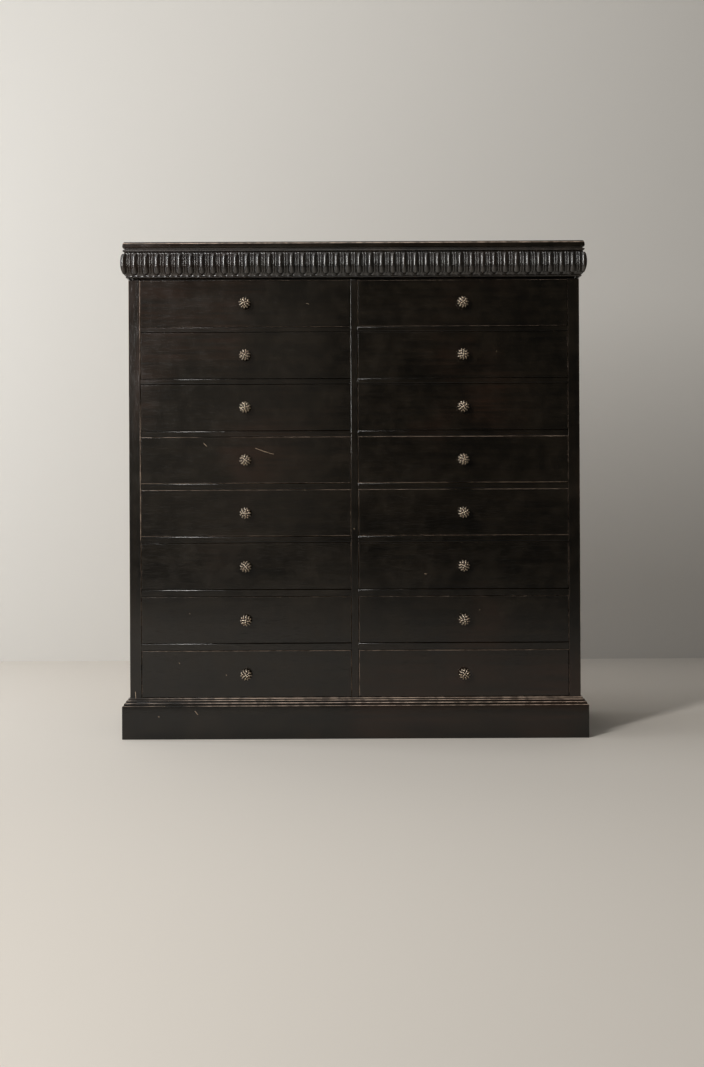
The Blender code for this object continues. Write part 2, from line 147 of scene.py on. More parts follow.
@dataclass(frozen=True)
class Wiring:
    """A node tree being wired, with short ways to add and link its nodes."""

    tree: NodeTree

    def feed(self, socket: Socket, value: Feed) -> None:
        """Links a socket to another, or sets its plain value.

        Args:
            socket: The input to feed.
            value: An output socket, a plain value, or None to leave the input as it is.
        """
        if isinstance(value, Socket):
            self.tree.links.new(value, socket)
        elif value is not None:
            socket.default_value = value

    def node(self, kind: str, feeds: dict | None = None, **settings: object) -> Node:
        """Adds a node.

        Args:
            kind: The node's type name.
            feeds: Values or sockets for its inputs, by name or index.
            settings: The node's own properties.

        Returns:
            The new node.
        """
        node = self.tree.nodes.new(kind)
        for name, setting in settings.items():
            setattr(node, name, setting)
        for key, value in (feeds or {}).items():
            self.feed(node.inputs[key], value)
        return node

    def math(self, operation: str, *values: Feed) -> Socket:
        """The result of a Math node on up to three values."""
        feeds = dict(enumerate(values))
        return self.node("ShaderNodeMath", feeds, operation=operation).outputs[0]

    def times(self, one: Feed, two: Feed) -> Socket:
        """The product of two values."""
        return self.math("MULTIPLY", one, two)

    def plus(self, one: Feed, two: Feed) -> Socket:
        """The sum of two values."""
        return self.math("ADD", one, two)

    def minus(self, one: Feed, two: Feed) -> Socket:
        """The difference of two values."""
        return self.math("SUBTRACT", one, two)

    def vector_math(self, operation: str, *values: Feed) -> Node:
        """A Vector Math node on up to three values."""
        return self.node("ShaderNodeVectorMath", dict(enumerate(values)), operation=operation)

    def smooth(self, value: Feed, low: Feed, high: Feed, start: Feed = 0.0, end: Feed = 1.0):
        """A value eased from start to end as it goes from low to high."""
        feeds = {0: value, 1: low, 2: high, 3: start, 4: end}
        return self.node("ShaderNodeMapRange", feeds, interpolation_type="SMOOTHSTEP").outputs[0]

    def noise(self, vector: Feed, scale: float, detail: float = 3.0) -> Socket:
        """A noise value from 0 to 1 at a vector."""
        feeds = {"Vector": vector, "Scale": scale, "Detail": detail}
        return self.node("ShaderNodeTexNoise", feeds).outputs["Fac"]

    def colour(self, factor: Feed, one: Feed, two: Feed) -> Socket:
        """A colour that goes from one to two by a factor."""
        node = self.node("ShaderNodeMix", data_type="RGBA")
        for socket, value in zip((node.inputs[0], node.inputs[6], node.inputs[7]), (factor, one, two)):
            if isinstance(value, tuple) and len(value) == 3:
                value = (*value, 1.0)
            self.feed(socket, value)
        return node.outputs[2]


def shader_group(name: str, inputs: dict[str, float | Point], outputs: Sequence[str]):
    """Starts a shader group.

    Args:
        name: The group's name.
        inputs: Its inputs with their defaults, a number or a vector.
        outputs: The names of its value outputs.

    Returns:
        Its wiring, its input sockets by name and its output node.
    """
    tree = bpy.data.node_groups.new(name, "ShaderNodeTree")
    for key, default in inputs.items():
        kind = "NodeSocketFloat" if isinstance(default, float) else "NodeSocketVector"
        tree.interface.new_socket(key, in_out="INPUT", socket_type=kind).default_value = default
    for key in outputs:
        tree.interface.new_socket(key, in_out="OUTPUT", socket_type="NodeSocketFloat")
    wiring = Wiring(tree)
    entry = wiring.node("NodeGroupInput")
    return wiring, {key: entry.outputs[key] for key in inputs}, wiring.node("NodeGroupOutput")


class Effects:
    """The shader groups that more than one finish uses."""

    def __init__(self) -> None:
        """Builds the groups once."""
        self.grain = self._grain()
        self.arris = self._arris()
        self.mark = self._mark()

    @staticmethod
    def _grain() -> NodeTree:
        """Long streaks, and short pores, along the X of a board's own coordinates."""
        feeds = {"Board": (0.0, 0.0, 0.0), "Streaks": 90.0, "Pores": 900.0, "Stretch": 0.04}
        wiring, given, out = shader_group("wood_grain", feeds, ("Streak", "Pore", "Figure"))
        squeeze = wiring.node("ShaderNodeCombineXYZ", {0: given["Stretch"], 1: 1.0, 2: 1.0})
        drawn = wiring.vector_math("MULTIPLY", given["Board"], squeeze.outputs[0]).outputs[0]
        streak = wiring.node("ShaderNodeTexNoise", {"Vector": drawn, "Scale": given["Streaks"]})
        streak.inputs["Detail"].default_value = 5.0
        pore = wiring.node("ShaderNodeTexNoise", {"Vector": drawn, "Scale": given["Pores"]})
        pore.inputs["Detail"].default_value = 1.0
        figure = wiring.noise(drawn, 14.0, 2.0)
        wiring.feed(out.inputs["Streak"], wiring.smooth(streak.outputs["Fac"], 0.3, 0.7))
        wiring.feed(out.inputs["Pore"], wiring.smooth(pore.outputs["Fac"], 0.56, 0.72))
        wiring.feed(out.inputs["Figure"], wiring.smooth(figure, 0.3, 0.7))
        return wiring.tree

    @staticmethod
    def _arris() -> NodeTree:
        """Lines along the arrises, and chips beside them. On the ebonised wood the lines are rubbed wear and
        partly painted highlight; on the pine they are dirt.

        Green, blue and alpha of "rim" are an upright face's other side, foot and head.
        """
        feeds = {"Place": (0.0, 0.0, 0.0), "Width": 1.3, "Patch": 6.0, "Cover": 0.5, "Foot": 1.15}
        wiring, given, out = shader_group("arris_lines", feeds, ("Arris Line", "Chipped"))
        rim = wiring.node("ShaderNodeAttribute", attribute_name="rim")
        parts = wiring.node("ShaderNodeSeparateColor", {0: rim.outputs["Color"]})
        near = wiring.math("MINIMUM", parts.outputs[0], parts.outputs[1])
        near = wiring.math("MINIMUM", near, wiring.times(parts.outputs[2], given["Foot"]))
        near = wiring.math("MINIMUM", near, rim.outputs["Alpha"])
        patch = wiring.node("ShaderNodeTexNoise", {"Vector": given["Place"], "Scale": given["Patch"]})
        floor = wiring.minus(1.0, given["Cover"])
        length = wiring.smooth(patch.outputs["Fac"], floor, wiring.plus(floor, 0.2))
        fine = wiring.smooth(wiring.noise(given["Place"], 55.0, 4.0), 0.36, 0.62, 0.35, 1.0)
        ragged = wiring.plus(wiring.noise(given["Place"], 240.0, 3.0), 0.5)
        width = wiring.times(given["Width"], ragged)
        line = wiring.smooth(near, wiring.times(width, 0.5), width, 1.0, 0.0)
        wiring.feed(out.inputs["Arris Line"], wiring.times(wiring.times(line, length), fine))
        chip = wiring.smooth(wiring.noise(given["Place"], 380.0, 1.5), 0.69, 0.73)
        beside = wiring.smooth(near, 1.0, 5.0, 1.0, 0.0)
        here = wiring.smooth(wiring.noise(given["Place"], 21.0, 1.0), 0.5, 0.6)
        wiring.feed(out.inputs["Chipped"], wiring.times(wiring.times(chip, beside), here))
        return wiring.tree

    @staticmethod
    def _mark() -> NodeTree:
        """One scratch or fleck, a straight stroke from Start to End with ragged sides."""
        feeds = {"Place": (0.0, 0.0, 0.0), "Start": (0.0, 0.0, 0.0), "End": (0.0, 0.0, 0.0)}
        wiring, given, out = shader_group("surface_mark", {**feeds, "Half Width": 0.001}, ("Mark",))
        to_point = wiring.vector_math("SUBTRACT", given["Place"], given["Start"]).outputs[0]
        stroke = wiring.vector_math("SUBTRACT", given["End"], given["Start"]).outputs[0]
        along = wiring.vector_math("DOT_PRODUCT", to_point, stroke).outputs["Value"]
        square = wiring.vector_math("DOT_PRODUCT", stroke, stroke).outputs["Value"]
        share = wiring.math("DIVIDE", along, wiring.plus(square, 1e-9))
        share = wiring.node("ShaderNodeClamp", {0: share}).outputs[0]
        nearest = wiring.vector_math("SCALE", stroke)
        wiring.feed(nearest.inputs["Scale"], share)
        miss = wiring.vector_math("SUBTRACT", to_point, nearest.outputs[0]).outputs[0]
        distance = wiring.vector_math("LENGTH", miss).outputs["Value"]
        ragged = wiring.plus(wiring.noise(given["Place"], 420.0, 2.0), 0.4)
        width = wiring.times(given["Half Width"], ragged)
        mark = wiring.smooth(distance, wiring.times(width, 0.5), width, 1.0, 0.0)
        wiring.feed(out.inputs["Mark"], mark)
        return wiring.tree


@dataclass(frozen=True)
class Mark:
    """A scratch or fleck on the front, in metres at rest."""

    start: Point
    end: Point
    half_width: float


def marks_at(face: float, half_width: float, *strokes: tuple[float, float, float, float]) -> tuple[Mark, ...]:
    """Marks on an upright face.

    Args:
        face: The face's place on Y.
        half_width: Half the marks' width.
        strokes: Start and end of each mark, as X and Z.

    Returns:
        The marks.
    """
    return tuple(Mark((a, face, b), (c, face, d), half_width) for a, b, c, d in strokes)


FRONT_MARKS = (
    *marks_at(FRONT_FACE, 0.0008, (-0.3951, 0.7735, -0.3872, 0.7655), (-0.2590, 0.7595, -0.2300, 0.7490)),
    *marks_at(FRONT_FACE, 0.0005, (-0.2300, 0.7490, -0.2120, 0.7440), (-0.1240, 1.1390, -0.1180, 1.1370)),
    *marks_at(FRONT_FACE, 0.0008, (-0.4340, 0.3270, -0.4330, 0.3260), (0.3730, 1.0120, 0.3740, 1.0110)),
    *marks_at(FRONT_FACE, 0.0009, (0.1830, 0.4290, 0.1870, 0.4280), (0.3260, 0.3340, 0.3270, 0.3330)),
    *marks_at(FRONT_FACE, 0.0009, (-0.3390, 0.1660, -0.3380, 0.1640), (-0.4620, 0.1980, -0.4610, 0.1960)),
)
CASE_MARKS = (
    *marks_at(PLINTH_FACE, 0.0009, (-0.4190, 0.0740, -0.4120, 0.0650), (-0.5150, 0.0600, -0.5120, 0.0590)),
    *marks_at(TOP_EDGE, 0.0009, (-0.5740, 1.2896, -0.5380, 1.2894), (-0.3720, 1.2896, -0.3420, 1.2898)),
    *marks_at(CASE_FACE, 0.0011, (-0.5770, 0.1220, -0.5760, 0.1040), (-0.0020, 0.5480, -0.0010, 0.5470)),
)


class Finish:
    """What every finish shares: a material with a Principled shader and its wiring."""

    def __init__(self, name: str, effects: Effects) -> None:
        """Starts an empty finish.

        Args:
            name: The material's name.
            effects: The shared shader groups.
        """
        self.effects = effects
        self.material = bpy.data.materials.new(name)
        self.material.use_nodes = True
        self.wiring = Wiring(self.material.node_tree)
        self.shader = self.material.node_tree.nodes["Principled BSDF"]
        self.place = self.wiring.node("ShaderNodeTexCoord").outputs["Object"]

    def group(self, tree: NodeTree, **feeds: Feed) -> Node:
        """Places a shared group, with an underscore in a feed's name for a space."""
        node = self.wiring.node("ShaderNodeGroup", node_tree=tree)
        for key, value in feeds.items():
            self.wiring.feed(node.inputs[key.replace("_", " ")], value)
        return node

    def attribute(self, name: str) -> Node:
        """An Attribute node that reads one of the mesh's attributes."""
        return self.wiring.node("ShaderNodeAttribute", attribute_name=name)

    def bump(self, height: Feed, distance: float, strength: float = 1.0) -> None:
        """Feeds the shader's normal from a height.

        Args:
            height: The height, from 0 to 1.
            distance: How high 1 stands, in metres.
            strength: The bump's strength.
        """
        feeds = {"Strength": strength, "Distance": distance, "Height": height}
        node = self.wiring.node("ShaderNodeBump", feeds)
        self.wiring.feed(self.shader.inputs["Normal"], node.outputs["Normal"])

    def set(self, **feeds: Feed) -> None:
        """Feeds the shader's inputs, with an underscore in a name for a space."""
        for key, value in feeds.items():
            self.wiring.feed(self.shader.inputs[key.replace("_", " ")], value)


@dataclass(frozen=True)
class Wax:
    """How one group of boards is waxed and rubbed.

    Attributes:
        cover: The share of the arrises' length that is rubbed.
        width: How wide the rubbed line is, in millimetres.
        dullness: The roughness of the wax where it is best kept.
        specular: The wax's specular level.
        texture: How strongly the grain is felt through the wax, from 0 to 1.
        strength: How bare the rubbed lines are, from 0 to 1; the lines are partly painted highlight.
        chips: How bare the small chips are, from 0 to 1.
    """

    cover: float
    width: float
    dullness: float
    specular: float
    texture: float
    strength: float
    chips: float = 1.0


FRONT_WAX = Wax(0.72, 1.3, 0.12, 0.45, 1.0, 0.95)
CASE_WAX = Wax(0.70, 1.3, 0.13, 0.45, 1.0, 0.90)
CARVING_WAX = Wax(0.50, 1.6, 0.25, 0.85, 0.05, 0.06, 0.0)


class EbonisedWood(Finish):
    """Black stained and waxed wood, rubbed brown on its arrises, where the pale lines are partly painted
    highlight.
    """

    JET = (0.0020, 0.0016, 0.0010)
    BROWN = (0.0105, 0.0076, 0.0044)
    RUSSET = (0.0160, 0.0076, 0.0042)
    RUBBED_AND_HIGHLIT = (0.460, 0.345, 0.265)
    BARE = (0.420, 0.320, 0.225)
    DUST = (0.048, 0.040, 0.032)

    def __init__(self, name: str, effects: Effects, wax: Wax, marks: Sequence[Mark] = ()) -> None:
        """Builds the finish.

        Args:
            name: The material's name.
            effects: The shared shader groups.
            wax: How these boards are waxed and rubbed.
            marks: Scratches and flecks.
        """
        super().__init__(name, effects)
        wiring = self.wiring
        board = self.attribute("grain").outputs["Vector"]
        hollow = self.attribute("hollow").outputs["Fac"]
        grain = self.group(effects.grain, Board=board)
        arris = self.group(effects.arris, Place=self.place, Width=wax.width, Cover=wax.cover)
        worn_and_highlit = wiring.times(arris.outputs["Arris Line"], wax.strength)
        bare = wiring.times(arris.outputs["Chipped"], wax.chips)
        for mark in marks:
            stroke = self.group(effects.mark, Place=self.place, Start=mark.start, End=mark.end)
            stroke.inputs["Half Width"].default_value = mark.half_width
            bare = wiring.math("MAXIMUM", bare, stroke.outputs[0])
        cloud = wiring.smooth(wiring.noise(self.place, 5.0, 5.0), 0.36, 0.66)
        mottle = wiring.smooth(wiring.noise(self.place, 24.0, 6.0), 0.40, 0.66)
        blotch = wiring.plus(wiring.times(cloud, 0.35), wiring.times(mottle, 0.35))
        tone = wiring.plus(wiring.times(grain.outputs["Streak"], 0.30), blotch)
        stained = wiring.colour(tone, self.JET, self.BROWN)
        faded = wiring.smooth(wiring.noise(self.place, 2.6, 4.0), 0.50, 0.68)
        faded = wiring.times(faded, wiring.plus(grain.outputs["Streak"], 0.2))
        stained = wiring.colour(wiring.times(faded, 0.75), stained, self.RUSSET)
        settled = wiring.times(hollow, wiring.noise(self.place, 60.0, 3.0))
        stained = wiring.colour(wiring.times(settled, 0.10), stained, self.DUST)
        # Pale arris lines: partly rubbed wear, partly painted highlight where the arrises catch the light.
        wood = wiring.colour(worn_and_highlit, stained, self.RUBBED_AND_HIGHLIT)
        self.set(Base_Color=wiring.colour(wiring.times(bare, 0.8), wood, self.BARE))
        dull = wiring.times(blotch, 0.02 + 0.10 * wax.texture)
        dull = wiring.plus(dull, wiring.times(grain.outputs["Pore"], 0.06 * wax.texture))
        dull = wiring.plus(dull, wiring.times(worn_and_highlit, 0.22 * wax.texture))
        self.set(Roughness=wiring.plus(dull, wax.dullness), Specular_IOR_Level=wax.specular)
        height = wiring.times(grain.outputs["Streak"], 0.08 * wax.texture)
        pores = wiring.times(grain.outputs["Pore"], 0.18 * wax.texture)
        height = wiring.minus(height, pores)
        wave = wiring.times(wiring.noise(self.place, 7.0, 2.0), 2.2 * wax.texture)
        height = wiring.plus(height, wave)
        height = wiring.minus(height, wiring.times(worn_and_highlit, wax.texture))
        self.bump(height, 0.00012)


class BarePine(Finish):
    """Old unpolished pine, darkened and a little dirty."""

    PALE = (0.47, 0.31, 0.165)
    LATE = (0.285, 0.155, 0.070)
    DIRT = (0.085, 0.058, 0.036)

    def __init__(self, effects: Effects) -> None:
        """Builds the finish on the shared shader groups."""
        super().__init__("bare_pine", effects)
        wiring = self.wiring
        board = self.attribute("grain").outputs["Vector"]
        grain = self.group(effects.grain, Board=board, Streaks=150.0, Stretch=0.03)
        rings = wiring.times(grain.outputs["Figure"], 9.0)
        rings = wiring.math("PINGPONG", rings, 1.0)
        late = wiring.math("POWER", rings, 3.0)
        late = wiring.times(late, wiring.plus(grain.outputs["Streak"], 0.25))
        wood = wiring.colour(late, self.PALE, self.LATE)
        cloud = wiring.smooth(wiring.noise(self.place, 6.0, 5.0), 0.42, 0.75)
        edge = self.group(effects.arris, Place=self.place, Width=4.0, Cover=0.6).outputs[0]
        dirt = wiring.math("MAXIMUM", wiring.times(cloud, 0.35), wiring.times(edge, 0.45))
        self.set(Base_Color=wiring.colour(dirt, wood, self.DIRT))
        rough = wiring.times(grain.outputs["Streak"], 0.15)
        self.set(Roughness=wiring.plus(rough, 0.62), Specular_IOR_Level=0.30)
        height = wiring.plus(late, wiring.times(grain.outputs["Pore"], -0.6))
        self.bump(height, 0.00015)


class AgedBronze(Finish):
    """Cast brass toned to bronze, dark in its hollows and bright where hands rub it."""

    BRIGHT = (0.90, 0.78, 0.62)
    TONED = (0.38, 0.25, 0.15)
    BLACKED = (0.012, 0.008, 0.006)

    def __init__(self, effects: Effects) -> None:
        """Builds the finish on the shared shader groups."""
        super().__init__("aged_bronze", effects)
        wiring = self.wiring
        hollow = self.attribute("hollow").outputs["Fac"]
        cloud = wiring.noise(self.place, 330.0, 4.0)
        depth = wiring.plus(hollow, wiring.times(wiring.minus(cloud, 0.5), 0.35))
        metal = wiring.colour(wiring.smooth(depth, 0.10, 0.46), self.BRIGHT, self.TONED)
        metal = wiring.colour(wiring.smooth(depth, 0.46, 0.74), metal, self.BLACKED)
        self.set(Base_Color=metal, Metallic=wiring.smooth(depth, 0.55, 0.95, 1.0, 0.35))
        self.set(Roughness=wiring.smooth(depth, 0.0, 0.9, 0.28, 0.60))
        self.bump(cloud, 0.00008)


class OldIron(Finish):
    """Dark rusty iron of nails, nuts and bolts."""

    def __init__(self, effects: Effects) -> None:
        """Builds the finish on the shared shader groups."""
        super().__init__("old_iron", effects)
        rust = self.wiring.smooth(self.wiring.noise(self.place, 700.0, 4.0), 0.45, 0.65)
        self.set(Base_Color=self.wiring.colour(rust, (0.055, 0.050, 0.046), (0.115, 0.052, 0.024)))
        self.set(Metallic=self.wiring.minus(0.85, self.wiring.times(rust, 0.7)))
        self.set(Roughness=self.wiring.plus(self.wiring.times(rust, 0.3), 0.45))
        self.bump(rust, 0.0001)


class Draft:
    """The shells of one piece, gathered with the attributes that its finish reads."""

    def __init__(self) -> None:
        """Starts with nothing."""
        self.points: list[Point] = []
        self.faces: list[list[int]] = []
        self.grain: list[Point] = []
        self.rims: list[tuple[float, float, float, float]] = []
        self.hollow: list[float] = []
        self.smooth: list[bool] = []
        self.boards = 0

    def add(
        self,
        bm: BMesh,
        along: Axis,
        low: Sequence[float],
        high: Sequence[float],
        closed: Sequence[Axis] = (),
        use: Rubbing = even_use(0.5),
    ) -> None:
        """Takes the shells of a bmesh as one board, and frees it.

        Args:
            bm: The shells, in place.
            along: The grain's direction.
            low: The lowest corner of the box whose edges are the board's arrises.
            high: That box's highest corner.
            closed: Axes whose two ends meet another board and so aren't rubbed.
            use: How hard the four arrises round a face are rubbed, from the face's middle; on the drawer
                fronts and stiles the lines are partly painted highlight.
        """
        bm.normal_update()
        start = len(self.points)
        self.boards += 1
        shift = 0.37 * self.boards
        for vert in bm.verts:
            self.points.append(tuple(vert.co))
            x, y, z = (vert.co[axis] for axis in along.order)
            self.grain.append((x + shift, y + 0.61 * shift, z + 0.23 * shift))
            self.hollow.append(0.0)
        closed_axes = {axis.value for axis in closed}
        for face in bm.faces:
            self.faces.append([start + vert.index for vert in face.verts])
            self.smooth.append(face.smooth)
            facing = max(range(3), key=lambda axis: abs(face.normal[axis]))
            plane = [axis for axis in range(3) if axis != facing]
            rubbed = use(face.calc_center_median())
            for vert in face.verts:
                rim = []
                for axis in plane:
                    ends = (vert.co[axis] - low[axis], high[axis] - vert.co[axis])
                    rim += [NO_ARRIS if axis in closed_axes else max(0.0, end) / MM for end in ends]
                self.rims.append(tuple(end / amount for end, amount in zip(rim, rubbed)))
        bm.free()

    def board(
        self,
        low: Sequence[float],
        high: Sequence[float],
        along: Axis,
        radius: float = 0.0006,
        closed: Sequence[Axis] = (),
        use: float = 0.5,
    ) -> None:
        """Adds a plain board with rounded arrises.

        Args:
            low: Its lowest corner.
            high: Its highest corner.
            along: The grain's direction.
            radius: The radius of its arrises.
            closed: Axes whose two ends meet another board.
            use: How hard its arrises are rubbed.
        """
        bm = bmesh.new()
        bmesh.ops.create_cube(bm, size=1.0)
        low, high = Vector(low), Vector(high)
        for vert in bm.verts:
            vert.co = (low + high) / 2 + Vector(a * b for a, b in zip(vert.co, high - low))
        round_arrises(bm, radius)
        self.add(bm, along, low, high, closed, even_use(use))

    def mesh(self, name: str) -> Mesh:
        """The gathered shells as a mesh with their attributes.

        Args:
            name: The mesh's name.

        Returns:
            The mesh.
        """
        mesh = bpy.data.meshes.new(name)
        mesh.from_pydata(self.points, [], self.faces)
        mesh.polygons.foreach_set("use_smooth", self.smooth)
        write_attributes(mesh, np.array(self.grain), np.array(self.rims), np.array(self.hollow))
        return mesh


def write_attributes(mesh: Mesh, grain: np.ndarray, rims: np.ndarray, hollow: np.ndarray):
    """Stores what the finishes read on a mesh.

    Args:
        mesh: The mesh.
        grain: A row of three for each point.
        rims: A row of four for each face corner.
        hollow: A number for each point.
    """
    stores = (("grain", "FLOAT_VECTOR", "POINT", "vector", grain),
              ("rim", "FLOAT_COLOR", "CORNER", "color", rims),
              ("hollow", "FLOAT", "POINT", "value", hollow))
    for name, kind, domain, field_name, values in stores:
        if name in mesh.attributes:
            mesh.attributes.remove(mesh.attributes[name])
        attribute = mesh.attributes.new(name, kind, domain)
        attribute.data.foreach_set(field_name, values.astype(np.float32).ravel())


def round_arrises(bm: BMesh, radius: float, least_angle: float = 30.0) -> None:
    """Rounds the convex edges of a closed mesh.

    Args:
        bm: The mesh.
        radius: The rounding's width.
        least_angle: Edges that turn by less than this many degrees stay.
    """
    bm.normal_update()
    edges = [e for e in bm.edges if e.calc_face_angle_signed(0.0) > math.radians(least_angle)]
    rounded = bmesh.ops.bevel(
        bm, geom=edges, offset=radius, segments=2, profile=0.5, affect="EDGES", clamp_overlap=True
    )
    for face in rounded["faces"]:
        shortest = min(edge.calc_length() for edge in face.edges)
        face.smooth = len(face.verts) <= 4 and shortest < 1.05 * radius


def to_mesh(bm: BMesh, name: str) -> Mesh:
    """A bmesh as a mesh. It is freed."""
    mesh = bpy.data.meshes.new(name)
    bm.to_mesh(mesh)
    bm.free()
    return mesh


def moved(mesh: Mesh, place: Callable[[float, float, float], Sequence[float]]) -> BMesh:
    """A mesh with each point taken to a new place, and its faces outwards."""
    bm = bmesh.new()
    bm.from_mesh(mesh)
    for vert in bm.verts:
        vert.co = place(*vert.co)
    bmesh.ops.recalc_face_normals(bm, faces=bm.faces)
    return bm


def bisected(bm: BMesh, point: Sequence[float], outward: Sequence[float], clear: bool = False) -> list:
    """Cuts a mesh at a plane, clears what is outside where asked, and gives the cut's parts."""
    whole = [*bm.verts, *bm.edges, *bm.faces]
    return bmesh.ops.bisect_plane(
        bm, geom=whole, dist=CUT_DISTANCE, plane_co=point, plane_no=outward, clear_outer=clear)["geom_cut"]


class Loft:
    """Rings of points to be skinned, each with what its finish reads."""

    def __init__(self) -> None:
        """Starts with no points."""
        self.bm = bmesh.new()
        self.crest = self.bm.verts.layers.float.new("crest")
        self.hollow = self.bm.verts.layers.float.new("hollow")
        self.rings: list[list[bmesh.types.BMVert]] = []

    def ring(self, places: Sequence[Point], crests: Sequence[float], hollows: Sequence[float] = ()) -> None:
        """Adds a ring.

        Args:
            places: Its points.
            crests: Each point's distance in millimetres to the nearest crest.
            hollows: How deep each point lies, nothing for a plain ring.
        """
        self.rings.append([self.bm.verts.new(place) for place in places])
        for vert, crest, hollow in zip(self.rings[-1], crests, hollows or [0.0] * len(places)):
            vert[self.crest], vert[self.hollow] = crest, hollow

    def skin(self) -> bmesh.types.BMFace:
        """Closes the rings into a solid, and gives its last face."""
        for one, two in zip(self.rings, self.rings[1:]):
            for side in range(len(one)):
                self.bm.faces.new((one[side - 1], one[side], two[side], two[side - 1]))
        self.bm.faces.new(self.rings[0])
        return self.bm.faces.new(self.rings[-1])


def extruded(outline: Sequence[Point], push: Point) -> BMesh:
    """A closed outline pushed along a vector, with its faces outwards."""
    bm = bmesh.new()
    face = bm.faces.new([bm.verts.new(point) for point in outline])
    pushed = bmesh.ops.extrude_face_region(bm, geom=[face])["geom"]
    verts = [item for item in pushed if isinstance(item, bmesh.types.BMVert)]
    bmesh.ops.translate(bm, verts=verts, vec=push)
    bmesh.ops.recalc_face_normals(bm, faces=bm.faces)
    return bm


def solid_copy(node: str) -> BMesh:
    """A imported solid's mesh with its loose triangles merged into whole faces."""
    bm = bmesh.new()
    bm.from_mesh(bpy.data.objects[node].data)
    bmesh.ops.remove_doubles(bm, verts=bm.verts, dist=1e-6)
    bm.normal_update()
    bmesh.ops.dissolve_limit(bm, angle_limit=math.radians(0.5), verts=bm.verts, edges=bm.edges)
    for face in bm.faces:
        face.smooth = False
    return bm


def keep_between(bm: BMesh, foot: float, head: float) -> None:
    """Cuts a closed mesh down to what lies between two heights, and closes the cuts."""
    for level, up in ((foot, -1), (head, 1)):
        bisected(bm, (0, 0, level), (0, 0, up), True)
        bmesh.ops.holes_fill(bm, edges=[edge for edge in bm.edges if edge.is_boundary])
    bmesh.ops.recalc_face_normals(bm, faces=bm.faces)


def settle(
    name: str,
    mesh: Mesh,
    finish: Finish,
    body: str,
    replaces: Sequence[str] = (),
    sharp: float = 40.0,
) -> bpy.types.Object:
    """Makes a finished mesh a piece that rides on its body.

    Args:
        name: The piece's name.
        mesh: Its mesh, in place.
        finish: Its finish.
        body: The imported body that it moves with.
        replaces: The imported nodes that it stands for.
        sharp: Edges that turn by more than this many degrees stay sharp.

    Returns:
        The piece.
    """
    mesh.materials.clear()
    mesh.materials.append(finish.material)
    smooth = np.empty(len(mesh.polygons), dtype=bool)
    mesh.polygons.foreach_get("use_smooth", smooth)
    mesh.set_sharp_from_angle(angle=math.radians(sharp))
    mesh.polygons.foreach_set("use_smooth", smooth)
    piece = bpy.data.objects.new(name, mesh)
    bpy.context.scene.collection.objects.link(piece)
    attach(piece, body)
    if replaces:
        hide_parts(*replaces)
    LOG.info("%s: %d faces on %s", name, len(mesh.polygons), body)
    return piece


